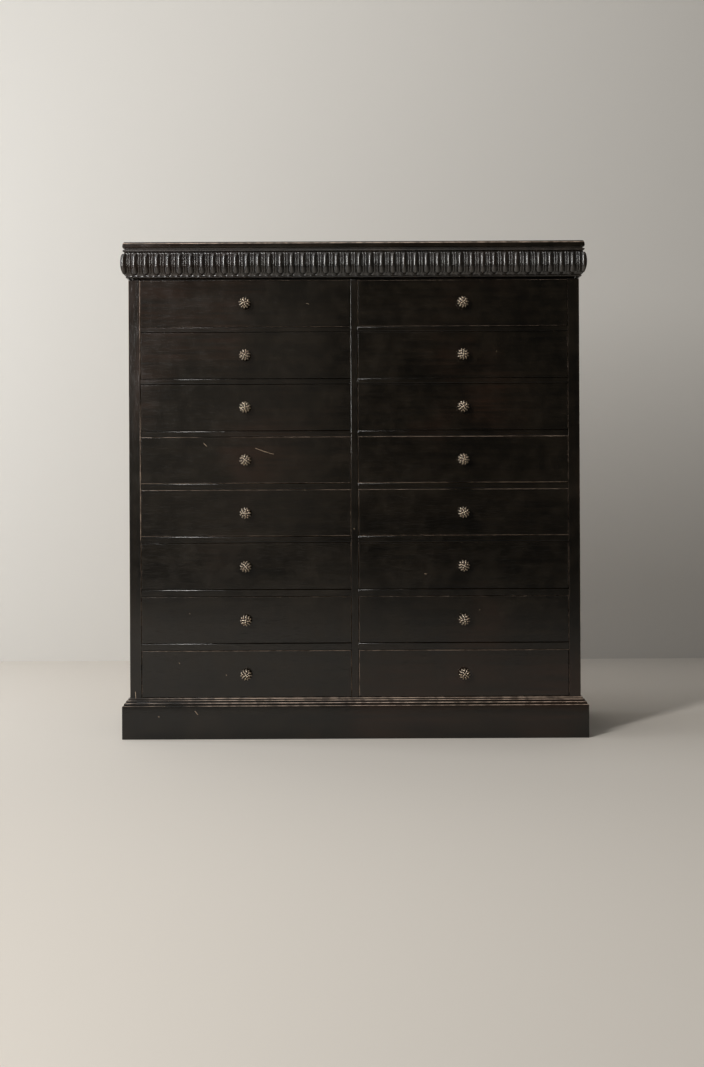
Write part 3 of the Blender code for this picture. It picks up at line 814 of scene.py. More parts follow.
class Repeats:
    """Geometry Nodes trees that repeat a shape, each ending in a plain mesh."""

    def __init__(self) -> None:
        """Builds the trees once."""
        self.row = self._tree("repeats_in_a_row", ring=False)
        self.ring = self._tree("repeats_in_a_ring", ring=True)

    @staticmethod
    def _tree(name: str, ring: bool) -> NodeTree:
        """A tree that sets copies of a shape in a row along X or in a ring about Y.

        Args:
            name: The tree's name.
            ring: Whether the copies stand in a ring.

        Returns:
            The tree.
        """
        tree = bpy.data.node_groups.new(name, "GeometryNodeTree")
        kinds = {"Shape": "Object", "Count": "Int", "Pitch": "Float", "Radius": "Float",
                 "Unevenness": "Float", "Finish": "Material"}
        tree.interface.new_socket("Geometry", in_out="INPUT", socket_type="NodeSocketGeometry")
        for key, kind in kinds.items():
            tree.interface.new_socket(key, in_out="INPUT", socket_type=f"NodeSocket{kind}")
        tree.interface.new_socket("Geometry", in_out="OUTPUT", socket_type="NodeSocketGeometry")
        wiring = Wiring(tree)
        given = wiring.node("NodeGroupInput").outputs
        shape = wiring.node("GeometryNodeObjectInfo", {"Object": given["Shape"]}).outputs["Geometry"]
        if ring:
            feeds = {"Vertices": given["Count"], "Radius": given["Radius"]}
            places = wiring.node("GeometryNodeMeshCircle", feeds)
            quarter = wiring.node("FunctionNodeInputVector", vector=(math.pi / 2, 0.0, 0.0))
            turned = wiring.node("GeometryNodeTransform", {"Geometry": places.outputs[0]})
            wiring.feed(turned.inputs["Rotation"], quarter.outputs[0])
            points = turned.outputs[0]
        else:
            step = wiring.node("ShaderNodeCombineXYZ", {0: given["Pitch"]})
            feeds = {"Count": given["Count"], "Offset": step.outputs[0]}
            points = wiring.node("GeometryNodeMeshLine", feeds).outputs[0]
        copies = wiring.node("GeometryNodeInstanceOnPoints", {"Points": points, "Instance": shape})
        whole = wiring.node("GeometryNodeRealizeInstances", {0: copies.outputs[0]})
        merged = wiring.node("GeometryNodeMergeByDistance", {0: whole.outputs[0], "Distance": 1e-6})
        feeds = {"Scale": 40.0, "Detail": 2.0, "W": 7.0}
        cut = wiring.node("ShaderNodeTexNoise", feeds, noise_dimensions="4D")
        place = wiring.node("GeometryNodeInputPosition").outputs[0]
        wiring.feed(cut.inputs["Vector"], place)
        off = wiring.times(wiring.minus(cut.outputs["Fac"], 0.5), given["Unevenness"])
        normal = wiring.node("GeometryNodeInputNormal").outputs[0]
        push = wiring.vector_math("SCALE", normal)
        wiring.feed(push.inputs["Scale"], off)
        uneven = wiring.node("GeometryNodeSetPosition", {"Geometry": merged.outputs[0]})
        wiring.feed(uneven.inputs["Offset"], push.outputs[0])
        painted = wiring.node("GeometryNodeSetMaterial", {"Geometry": uneven.outputs[0]})
        wiring.feed(painted.inputs["Material"], given["Finish"])
        wiring.node("NodeGroupOutput", {0: painted.outputs[0]})
        return tree

    @staticmethod
    def run(tree: NodeTree, shape: Mesh, finish: Finish, **values: float) -> Mesh:
        """Runs a tree on a shape.

        Args:
            tree: One of the trees of this class.
            shape: The mesh to repeat.
            finish: The finish that the tree sets.
            values: The tree's number inputs, by name. Those left out are 0.

        Returns:
            The result as a plain mesh.
        """
        source = bpy.data.objects.new("repeated_shape", shape)
        host = bpy.data.objects.new("repeats_host", bpy.data.meshes.new("repeats_host"))
        for obj in (source, host):
            bpy.context.scene.collection.objects.link(obj)
        modifier = host.modifiers.new("repeats", "NODES")
        modifier.node_group = tree
        given = {"Unevenness": 0.0, **values, "Shape": source, "Finish": finish.material}
        for item in tree.interface.items_tree:
            if item.in_out == "INPUT" and item.name in given:
                modifier[item.identifier] = given[item.name]
        bpy.context.view_layer.update()
        graph = bpy.context.evaluated_depsgraph_get()
        result = bpy.data.meshes.new_from_object(host.evaluated_get(graph))
        for obj in (host, source):
            bpy.data.objects.remove(obj)
        return result


@dataclass(frozen=True)
class Carcass:
    """The lines of the case that several pieces share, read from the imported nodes."""

    half: float
    inner: float
    face: float
    rear: float
    back: float
    underside: float
    neck: float

    @classmethod
    def read(cls) -> "Carcass":
        """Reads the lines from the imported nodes' boxes."""
        side_low, side_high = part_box("side_right")
        back_low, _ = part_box("back_boards")
        top_low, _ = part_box("top_board")
        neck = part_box("drawer_front_left_1")[1][2] + RUNNING_GAP
        return cls(side_high[0], side_low[0], side_low[1], side_high[1], back_low[1], top_low[2], neck)

    def mitred(self, bm: BMesh, run: Run) -> None:
        """Cuts a moulding at the mitres on the case's front corners and closes the cuts.

        Args:
            bm: The moulding, longer than the run.
            run: Which length it is.
        """
        for hand in (-1, 1) if run is Run.FRONT else (run.hand,):
            outward = Vector((hand, 1, 0)).normalized()
            if run is not Run.FRONT:
                outward.negate()
            corner = Vector((hand * self.half, self.face, 0)) - outward * MITRE_GAP
            cut = bisected(bm, corner, outward, True)
            rim = [item for item in cut if isinstance(item, bmesh.types.BMEdge)]
            bmesh.ops.contextual_create(bm, geom=rim)
        bmesh.ops.recalc_face_normals(bm, faces=bm.faces)

    def outside(self, run: Run, along: float, overhang: float, z: float) -> Point:
        """A point outside the case.

        Args:
            run: Which side of the case it is on.
            along: Its distance from the middle of the front, or from the back of a side.
            overhang: How far it stands out.
            z: Its height.

        Returns:
            The point.
        """
        if run is Run.FRONT:
            return (along, self.face - overhang, z)
        return (run.hand * (self.half + overhang), self.rear - along, z)


def rail_lines() -> list[Pair]:
    """Lower and upper edge of the rail under each row, from the drawer fronts' boxes."""
    lines = []
    for row in range(1, ROWS):
        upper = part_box(f"drawer_front_left_{row}")[0][2] - RUNNING_GAP
        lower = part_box(f"drawer_front_left_{row + 1}")[1][2] + RUNNING_GAP
        lines.append((lower, upper))
    return lines


@dataclass(frozen=True)
class Case:
    """Sides, partition, rails, dust boards, bottom board and back boards."""

    carcass: Carcass
    rail_depth: float = 0.060
    lipping: float = 0.022
    arris: float = 0.0010
    dust_board_gap: float = 0.0004
    top_rail_depth: float = 0.022
    stop_size: Point = (0.030, 0.018, 0.0059)
    stop_spacing: float = 0.360
    stop_gap: float = 0.0004
    back_boards: int = 8
    joint_half: float = 0.0001
    joint_round: float = 0.0016
    nail_depth: float = 0.0010
    end_nails: Pair = (0.025, 0.009)
    neck_height: float = 0.0090
    neck_inset: float = 0.0100
    lap: float = 0.001

    def sides(self, finish: Finish) -> None:
        """The two sides, whose front edges are the stiles, set in along a neck under the frieze."""
        foot = self.carcass.neck
        head = foot + self.neck_height
        levels = [(lower + upper) / 2 for lower, upper in rail_lines()]

        def rubbed(middle: Vector) -> Sequence[float]:
            """How hard a stile is rubbed beside the row that a point lies in. The left stile's inner arris
            follows the rows, partly as painted highlight; the right stile's inner arris stays faint.
            """
            inner = ROW_WEAR_AND_HIGHLIGHT[sum(level > middle.z for level in levels)].stile
            return (0.3, inner, 0.3, 0.3) if middle.x < 0 else (0.12, 0.3, 0.3, 0.3)

        for node in ("side_left", "side_right"):
            low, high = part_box(node)
            draft = Draft()
            for start, end in ((low[2], foot), (foot - self.lap, head + self.lap), (head, high[2])):
                bm = solid_copy(node)
                keep_between(bm, start, end)
                if low[2] < start < head:
                    for vert in bm.verts:
                        if vert.co.y < low[1] + SAME:
                            vert.co.y += self.neck_inset
                        if abs(vert.co.x) > self.carcass.half - SAME:
                            vert.co.x -= math.copysign(self.neck_inset, vert.co.x)
                round_arrises(bm, self.arris)
                for level in levels if start < levels[0] else ():
                    bisected(bm, (0, 0, level), (0, 0, 1))
                draft.add(bm, Axis.Z, low, high, (Axis.Z,), rubbed)
            settle(node + "_board", draft.mesh(node), finish, "carcass", [node])

    def grid(self, finish: Finish, inside: Finish) -> None:
        """The rails and the muntin, with the dust boards, the partition and the stops inside.

        Args:
            finish: The finish of what shows from the front.
            inside: The bare wood behind it.
        """
        face, rear = self.carcass.face, self.carcass.back - FIT
        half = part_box("drawer_front_right_1")[0][0] - RUNNING_GAP
        reach = self.carcass.inner - FIT
        front, behind = Draft(), Draft()
        split = face + self.lipping
        foot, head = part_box("divider_grid")[0][2], self.carcass.underside - FIT
        muntin_high = (half, split, self.carcass.neck)
        front.board((-half, face, foot), muntin_high, Axis.Z, self.arris, (Axis.Z,), 0.35)
        behind.board((-half, split, foot), (half, rear, head), Axis.Z)
        for lower, upper in rail_lines():
            for start, end in ((-reach, -half), (half, reach)):
                rail_rear = face + self.rail_depth
                front.board((start, face, lower), (end, rail_rear, upper), Axis.X, self.arris, (Axis.X,), 0.2)
                board_front = rail_rear + self.dust_board_gap
                behind.board((start, board_front, lower), (end, rear, upper), Axis.X)
        rail_face = face + self.neck_inset
        rail_low = (-reach, rail_face, self.carcass.neck)
        rail_high = (reach, rail_face + self.top_rail_depth, head - self.lap)
        front.board(rail_low, rail_high, Axis.X, closed=tuple(Axis))
        self._stops(behind, [upper for _, upper in rail_lines()])
        settle("rails_and_muntin", front.mesh("rails"), finish, "carcass", ["divider_grid"])
        settle("dust_boards", behind.mesh("dust"), inside, "carcass", ["divider_grid"])

    def _stops(self, draft: Draft, floors: Sequence[float]) -> None:
        """Adds the two stops behind each drawer front.

        Args:
            draft: The draft that they go in.
            floors: The surfaces that they are glued to.
        """
        length, depth, height = self.stop_size
        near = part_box("drawer_front_left_1")[1][1] + self.stop_gap
        for floor in floors:
            for bank in ("left", "right"):
                low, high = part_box(f"drawer_front_{bank}_1")
                for side in (-0.5, 0.5):
                    x = (low[0] + high[0]) / 2 + side * self.stop_spacing - length / 2
                    corner = (x, near, floor - self.lap)
                    draft.board(corner, (x + length, near + depth, floor + height), Axis.X, self.arris)

    def bottom(self, finish: Finish, inside: Finish) -> None:
        """The bottom board, stained only along its front edge."""
        low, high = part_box("bottom_board")
        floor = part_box(f"drawer_front_left_{ROWS}")[0][2] - RUNNING_GAP
        face, split = self.carcass.face, self.carcass.face + self.rail_depth
        reach = self.carcass.inner - FIT
        front, behind = Draft(), Draft()
        front.board((-reach, face, low[2]), (reach, split, floor), Axis.X, closed=(Axis.X,))
        board_front = split + self.dust_board_gap
        behind.board((-reach, board_front, low[2]), (reach, high[1], floor), Axis.X)
        self._stops(behind, [floor])
        settle("bottom_front_edge", front.mesh("bottom"), finish, "carcass", ["bottom_board"])
        settle("bottom_inner_board", behind.mesh("bottom"), inside, "carcass", ["bottom_board"])

    def back(self, inside: Finish, iron: Finish, repeats: Repeats) -> None:
        """Matched boards with a bead of shadow between them, nailed along the dust boards."""
        low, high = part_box("back_boards")
        width = (high[0] - low[0]) / self.back_boards
        draft = Draft()
        for board in range(self.back_boards):
            x = low[0] + board * width
            corner = (x + self.joint_half, low[1], low[2])
            end = (x + width - self.joint_half, high[1], high[2])
            draft.board(corner, end, Axis.Z, self.joint_round)
        settle("matched_back", draft.mesh("back"), inside, "carcass", ["back_boards"])
        levels = [(lower + upper) / 2 for lower, upper in rail_lines()[::2]]
        levels += [high[2] - self.end_nails[0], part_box("bottom_board")[0][2] + self.end_nails[1]]
        heads = Draft()
        pitch = width / 2
        start, rear = low[0] + pitch / 2, high[1] - self.nail_depth
        head = nail_head(0.0032, 0.0009)
        row = Repeats.run(repeats.row, head, iron, Count=2 * self.back_boards, Pitch=pitch)
        for level in levels:
            heads.add(moved(row, lambda x, y, z: (start + x, rear - y, level + z)), Axis.X, low, high)
        settle("back_nails", heads.mesh("nails"), iron, "carcass")


def nail_head(radius: float, height: float) -> Mesh:
    """A domed nail head that stands out along -Y."""
    loft = Loft()
    angles = [math.tau * side / 10 for side in range(10)]
    for share, rise in ((1.0, 0.3), (0.8, -0.65), (0.35, -1.0)):
        out, y = radius * share, rise * height
        places = [(out * math.cos(angle), y, out * math.sin(angle)) for angle in angles]
        loft.ring(places, [NO_ARRIS] * len(places))
    loft.skin()
    bmesh.ops.recalc_face_normals(loft.bm, faces=loft.bm.faces)
    return to_mesh(loft.bm, "nail_head")


def along_line(points: Sequence[Pair]) -> list[float]:
    """Distance in millimetres along a line from its start to each of its points."""
    places = [0.0]
    for one, two in zip(points, points[1:]):
        places.append(places[-1] + math.dist(one, two) / MM)
    return places


def direction(points: Sequence[Pair], k: int) -> Vector:
    """The direction of a line at its point k."""
    one, two = points[max(0, k - 1)], points[min(len(points) - 1, k + 1)]
    return Vector((two[0] - one[0], two[1] - one[1])).normalized()


def spline(points: Sequence[Pair], steps: int) -> list[Pair]:
    """A smooth line through points, with the same number of steps between each pair.

    Args:
        points: The points that it passes.
        steps: Steps from each point to the next.

    Returns:
        The line's points, both ends included.
    """
    padded = [points[0], *points, points[-1]]
    line = []
    for k in range(1, len(padded) - 2):
        p0, p1, p2, p3 = (Vector(padded[k + shift]) for shift in (-1, 0, 1, 2))
        for step in range(steps):
            t = step / steps
            value = (p1 * 2 + (p2 - p0) * t + (p0 * 2 - p1 * 5 + p2 * 4 - p3) * t * t
                     + (p1 * 3 - p0 - p2 * 3 + p3) * t * t * t) / 2
            line.append(tuple(value))
    line.append(tuple(points[-1]))
    return line


@dataclass(frozen=True)
class Moulding:
    """A moulding's section, as stretches of (overhang, height) points with their crests."""

    section: tuple[Pair, ...]
    crests: tuple[int, ...]

    def to_crest(self) -> list[float]:
        """Distance in millimetres along the section from each point to the nearest crest."""
        places = along_line(self.section)
        return [min(abs(place - places[crest]) for crest in self.crests) for place in places]


def arc(centre: Pair, radii: Pair, start: float, end: float, steps: int):
    """Points on an elliptical arc in a section.

    Args:
        centre: The arc's centre, as (overhang, height).
        radii: Its radii along the two directions.
        start: The first angle in degrees, 0 pointing outwards and 90 up.
        end: The last angle.
        steps: The number of steps.

    Returns:
        The points, both ends included.
    """
    points = []
    for step in range(steps + 1):
        angle = math.radians(start + (end - start) * step / steps)
        points.append((centre[0] + radii[0] * math.cos(angle), centre[1] + radii[1] * math.sin(angle)))
    return points


@dataclass(frozen=True)
class Plinth:
    """Three mitred lengths of plinth board under an ovolo and a small reed."""

    carcass: Carcass
    past_mitre: float = 0.04

    def moulding(self) -> Moulding:
        """The section from the floor up to the case."""
        low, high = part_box("plinth_front")
        out, top = self.carcass.face - low[1], high[2]
        board = [(FIT, 0.0), (out - 0.0012, 0.0), (out - 0.0003, 0.0006), (out, 0.002)]
        arris = arc((out - 0.0024, 0.0848), (0.0024, 0.0026), 0, 90, 5)
        quirk = [(out - 0.0040, 0.0876), (0.0146, 0.0878)]
        ovolo = arc((0.0098, 0.0886), (0.0052, 0.0072), -4, 84, 7)
        step = [(0.0098, 0.0957), (0.0094, 0.0966)]
        reed = arc((0.0062, 0.0984), (0.0034, 0.0029), -40, 100, 7)
        cove = [(0.0036, 0.1012), (0.0034, 0.1026)]
        fillet = [(0.0048, 0.1034), (0.0049, top - 0.0010), (0.0040, top), (FIT, top)]
        section = [*board, *arris, *quirk, *ovolo, *step, *reed, *cove, *fillet]
        crests = (len(board) + 3, len(board) + len(arris) + len(quirk) + 4,
                  len(section) - len(fillet) - len(cove) - 4, len(section) - 3)
        return Moulding(tuple(section), crests)

    def build(self, finish: Finish) -> None:
        """Builds the three lengths."""
        moulding = self.moulding()
        distances = moulding.to_crest()
        for run in Run:
            start, end = 0.0, self.carcass.rear - self.carcass.face + self.past_mitre
            if run is Run.FRONT:
                end = self.carcass.half + self.past_mitre
                start = -end
            loft = Loft()
            for along in (start, end):
                places = [self.carcass.outside(run, along, max(out, FIT), z) for out, z in moulding.section]
                loft.ring(places, distances)
            loft.skin()
            self.carcass.mitred(loft.bm, run)
            mesh = swept_mesh(loft.bm, f"plinth_{run.value}", Axis.X if run is Run.FRONT else Axis.Y)
            name = f"plinth_{run.value}_length"
            settle(name, mesh, finish, "carcass", [f"plinth_{run.value}"], 35.0)


def swept_mesh(bm: BMesh, name: str, along: Axis) -> Mesh:
    """A moulding's mesh, with its arrises taken from the crest layer of its points.

    Args:
        bm: The moulding, with the two layers of a loft. It is freed.
        name: The mesh's name.
        along: The grain's direction.

    Returns:
        The mesh.
    """
    crest, depth = (bm.verts.layers.float[key] for key in ("crest", "hollow"))
    grain = [[vert.co[axis] + 0.29 * len(name) for axis in along.order] for vert in bm.verts]
    hollow = [vert[depth] for vert in bm.verts]
    rims = [(vert[crest], NO_ARRIS, NO_ARRIS, NO_ARRIS) for face in bm.faces for vert in face.verts]
    mesh = to_mesh(bm, name)
    mesh.shade_smooth()
    write_attributes(mesh, np.array(grain), np.array(rims), np.array(hollow))
    return mesh


@dataclass(frozen=True)
class Top:
    """The top board with its thumb moulding round the front and both ends."""

    carcass: Carcass
    thumb_crest: int = 7
    flat: float = 0.006

    def build(self, finish: Finish) -> None:
        """Builds the board."""
        (_, _, foot), (end, rear, head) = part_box("top_board")
        out = end - self.carcass.half
        section = [(out - 0.0022, foot), (out - 0.0006, foot + 0.0006)]
        section += arc((out - 0.0060, foot + 0.0046), (0.0060, 0.0114), -6, 84, 10)
        section.append((out - 0.0068, head))
        loft = Loft()
        for (overhang, z), crest in zip(section, Moulding(tuple(section), (self.thumb_crest,)).to_crest()):
            half, front = self.carcass.half + overhang, self.carcass.face - overhang
            places = ((-half, front, z), (half, front, z), (half, rear, z), (-half, rear, z))
            loft.ring(places, [crest] * len(places))
        top = loft.skin()
        bmesh.ops.inset_region(loft.bm, faces=[top], thickness=self.flat)
        for vert in top.verts:
            vert[loft.crest] = NO_ARRIS
        bmesh.ops.recalc_face_normals(loft.bm, faces=loft.bm.faces)
        mesh = swept_mesh(loft.bm, "top", Axis.X)
        settle("moulded_top", mesh, finish, "carcass", ["top_board"], 35.0)


@dataclass(frozen=True)
class Gadroons:
    """The carved frieze: a bead over lobes, with two narrow reeds between each pair."""

    carcass: Carcass
    lobes_across: int = 42
    lobes_deep: int = 16
    past_corner: float = 0.0268
    lobe_half: float = 7.7
    lobe_height: float = 6.0
    arch: float = 2.6
    tip: float = 8.0
    groove: float = 0.7
    border: float = 6.2
    border_height: float = 2.3
    ground: float = 0.3
    crown: float = 0.4
    foot: float = 6.8
    fillet: float = 2.6
    run_out: float = 2.4
    foot_rise: float = 1.5
    least: float = 0.0006
    unevenness: float = 0.00020
    belly: tuple[Pair, ...] = (
        (0.0122, 0.0282), (0.0176, 0.0380), (0.0197, 0.0530), (0.0186, 0.0680),
        (0.0140, 0.0810), (0.0098, 0.0876), (0.0090, 0.0925), (0.0076, 0.0945))

    def outside_lobe(self, x: float, down: float, length: float) -> float:
        """Distance in millimetres from a point to the lobe's outline, negative inside it.

        Args:
            x: The distance across from the lobe's crest, in millimetres.
            down: The distance down the belly, in millimetres.
            length: The whole length of the belly, in millimetres.

        Returns:
            The distance.
        """
        upper, lower = self.crown + self.arch, length - self.foot - self.tip
        if down < upper:
            stretch, reach = upper - down, self.arch
        elif down > lower:
            stretch, reach = down - lower, self.tip
        else:
            return abs(x) - self.lobe_half
        share = math.hypot(x / self.lobe_half, stretch / reach)
        slope = math.hypot(x / self.lobe_half ** 2, stretch / reach ** 2) / max(share, 1e-6)
        return (share - 1) / max(slope, 0.05)

    def cut(self, x: float, down: float, length: float) -> float:
        """How far the carving goes in behind the belly, in millimetres."""
        away = self.outside_lobe(x, down, length)
        if away <= 0:
            share = min(1.0, -away / self.lobe_half)
            return self.lobe_height * (1 - math.sqrt(1 - (1 - share) ** 2))
        if down < self.crown + self.arch:
            away = abs(x) - self.lobe_half
        away -= self.groove
        if away <= 0:
            return self.lobe_height
        lower = length - self.foot - self.tip
        height = self.border_height * (1 - 0.65 * min(1.0, max(0.0, (down - lower) / self.tip)))
        rise = math.sin(math.pi * min(1.0, away / self.border)) ** 0.85 * height
        return self.lobe_height - (max(rise, self.ground) if away > self.border / 2 else rise)

    def columns(self, width: float, half_pitch: float) -> list[float]:
        """Places across one repeat, in millimetres from the crest, for a lobe of a width."""
        inside = [width * share for share in (0.0, 0.22, 0.44, 0.64, 0.80, 0.91, 0.975)]
        edge = width + self.groove
        share = (half_pitch - edge) / (half_pitch - self.lobe_half - self.groove)
        ridge = [edge + share * place for place in (0.25, 0.7, 1.4, 2.2, 3.1, 4.0, 4.8, 5.5, 5.95)]
        half = [*inside, width, edge, *ridge, half_pitch]
        return [-place for place in half[:0:-1]] + half

    def cell(self) -> Mesh:
        """One repeat of the frieze, X along it, Y out from the case and Z up."""
        head = self.carcass.underside + 0.016
        belly = spline(self.belly, 7)
        places = along_line(belly)
        bead = arc((0.0092, 0.0232), (0.0042, 0.0029), -90, 90, 8)
        top = [(FIT, 0.0163), (0.0080, 0.0163), (0.0074, 0.0196), *bead, (0.0080, 0.0270)]
        half_pitch = (self.carcass.half + self.past_corner) / self.lobes_across / MM
        loft = Loft()
        for k, (out, depth) in enumerate([*top, *belly, (FIT, self.belly[-1][1])]):
            step = k - len(top)
            carved = 0 <= step < len(belly)
            inward = Vector((0.0, 0.0))
            width = self.lobe_half
            if carved:
                inward = direction(belly, step)
                past = self.outside_lobe(self.lobe_half, places[step], places[-1])
                if places[step] > places[-1] / 2:
                    width = self.lobe_half - min(max(past, 0.0), 0.45 * self.lobe_half)
            columns = self.columns(width, half_pitch)
            cuts = [0.0] * len(columns)
            if carved:
                past_foot = (places[step] - places[-1] + self.foot - self.foot_rise) / self.run_out
                ending = min(1.0, max(0.0, past_foot, 1 - places[step] / self.run_out))
                cuts = [self.cut(x, places[step], places[-1]) for x in columns]
                cuts = [cut + ending * (self.fillet - cut) for cut in cuts]
            points = []
            for x, cut in zip(columns, cuts):
                y = max(out - inward[1] * cut * MM, self.least) if k else out
                points.append(((x + half_pitch) * MM, y, head - depth - inward[0] * cut * MM))
            crests = [0.6 + abs(x) * 0.7 if carved else 1.0 for x in columns]
            loft.ring(points, crests, [cut / self.lobe_height for cut in cuts])
        for k, row in enumerate(loft.rings):
            before = loft.rings[k - 1]
            for j in range(len(row) - 1):
                loft.bm.faces.new((before[j], before[j + 1], row[j + 1], row[j]))
        bmesh.ops.recalc_face_normals(loft.bm, faces=loft.bm.faces)
        return to_mesh(loft.bm, "gadroon_cell")

    def build(self, finish: Finish, repeats: Repeats) -> None:
        """Repeats the cell along each length and mitres the corners."""
        cell = self.cell()
        front = 2 * (self.carcass.half + self.past_corner)
        pitch = front / self.lobes_across
        for run in Run:
            count, length, start = self.lobes_across, front, -front / 2
            if run is not Run.FRONT:
                count, start = self.lobes_deep, 0.0
                length = self.carcass.rear - self.carcass.face + self.past_corner
            row = Repeats.run(
                repeats.row, cell.copy(), finish, Count=count, Pitch=pitch, Unevenness=self.unevenness)
            bm = bmesh.new()
            bm.from_mesh(row)
            stretch = length / (count * pitch)
            for vert in bm.verts:
                x, y, z = vert.co
                vert.co = self.carcass.outside(run, start + x * stretch, y, z)
            bmesh.ops.holes_fill(bm, edges=[edge for edge in bm.edges if edge.is_boundary])
            self.carcass.mitred(bm, run)
            mesh = swept_mesh(bm, f"frieze_{run.value}", Axis.X if run is Run.FRONT else Axis.Y)
            name = f"gadroon_{run.value}_length"
            settle(name, mesh, finish, "carcass", [f"gadroon_{run.value}"], 62.0)


@dataclass(frozen=True)
class Knob:
    """A cast knob: a moulded foot, a waisted neck and a head of whirled leaves round a boss."""

    sides: int = 132
    steps: int = 6
    rings: tuple[tuple[int, float, float], ...] = ((4, 0.33, 5.0), (8, 0.66, -6.0), (11, 0.94, 4.0))
    boss: float = 0.15
    leaf_width: float = 0.60
    ring_reach: float = 0.18
    relief_height: float = 0.0026
    under_share: float = 0.8
    least_radius: float = 0.0003
    beads: int = 26
    bead_radius: float = 0.00075
    collar_radius: float = 0.0098
    collar_reach: float = 0.0021
    foot: tuple[Pair, ...] = (
        (0.0022, 0.0003), (0.0103, 0.0003), (0.0104, 0.0014), (0.0092, 0.0024), (0.0080, 0.0029),
        (0.0062, 0.0042), (0.0055, 0.0064), (0.0062, 0.0086), (0.0084, 0.0100))
    head: tuple[Pair, ...] = (
        (0.0100, 0.0112), (0.0121, 0.0138), (0.0130, 0.0168), (0.0126, 0.0200),
        (0.0107, 0.0232), (0.0078, 0.0255), (0.0042, 0.0270), (0.0004, 0.0274))

    def leaf(self, angle: float, radius: float, leaves: int, twist: float) -> float:
        """How far a point lies on a leaf of a ring, 1 on its rib and 0 between two leaves."""
        return math.exp(-((math.sin((leaves * angle + twist * radius) / 2) / self.leaf_width) ** 4))

    def relief(self, angle: float, radius: float, under: bool) -> float:
        """The relief's height from 0 to 1 on the head.

        Args:
            angle: The angle about the bolt.
            radius: The distance from the bolt, in units of the head's radius.
            under: Whether the point is on the head's underside.

        Returns:
            The height.
        """
        if under:
            leaves, _, twist = self.rings[-1]
            return self.under_share * self.leaf(angle, radius, leaves, twist) * radius ** 4
        height = math.exp(-((radius / self.boss) ** 4))
        for leaves, middle, twist in self.rings:
            arch = max(0.0, 1 - ((radius - middle) / self.ring_reach) ** 2) ** 0.5
            height = max(height, self.leaf(angle, radius, leaves, twist) * arch)
        return height

    def mesh(self, repeats: Repeats, finish: Finish) -> Mesh:
        """The knob about the origin, its bolt along Y and the drawer's face at y 0."""
        loft = Loft()
        bm = loft.bm
        head = spline(self.head, self.steps)
        profile = [*spline(self.foot, 2), *head]
        plain = len(profile) - len(head)
        widest = max(range(len(profile)), key=lambda k: profile[k][0])
        angles = [math.tau * side / self.sides for side in range(self.sides)]
        for k, (radius, reach) in enumerate(profile):
            run, share = direction(profile, k), radius / profile[widest][0]
            rises = [self.relief(angle, share, k < widest) if k >= plain else 0.0 for angle in angles]
            places = []
            for angle, rise in zip(angles, rises):
                out = max(radius + run[1] * rise * self.relief_height, self.least_radius)
                y = -(reach - run[0] * rise * self.relief_height)
                places.append((out * math.cos(angle), y, out * math.sin(angle)))
            loft.ring(places, [NO_ARRIS] * self.sides, [1 - rise if k >= plain else 0.5 for rise in rises])
        loft.skin()
        ball = bmesh.new()
        bmesh.ops.create_icosphere(ball, subdivisions=2, radius=self.bead_radius)
        bead = to_mesh(ball, "bead")
        collar = Repeats.run(repeats.ring, bead, finish, Count=self.beads, Radius=self.collar_radius)
        for vert in collar.vertices:
            vert.co.y -= self.collar_reach
        first = len(bm.verts)
        bm.from_mesh(collar)
        bm.verts.ensure_lookup_table()
        for vert in bm.verts[first:]:
            vert[loft.crest] = NO_ARRIS
            vert[loft.hollow] = 0.25 if vert.co.y < -self.collar_reach else 0.8
        bmesh.ops.recalc_face_normals(bm, faces=bm.faces)
        return swept_mesh(bm, "knob", Axis.X)


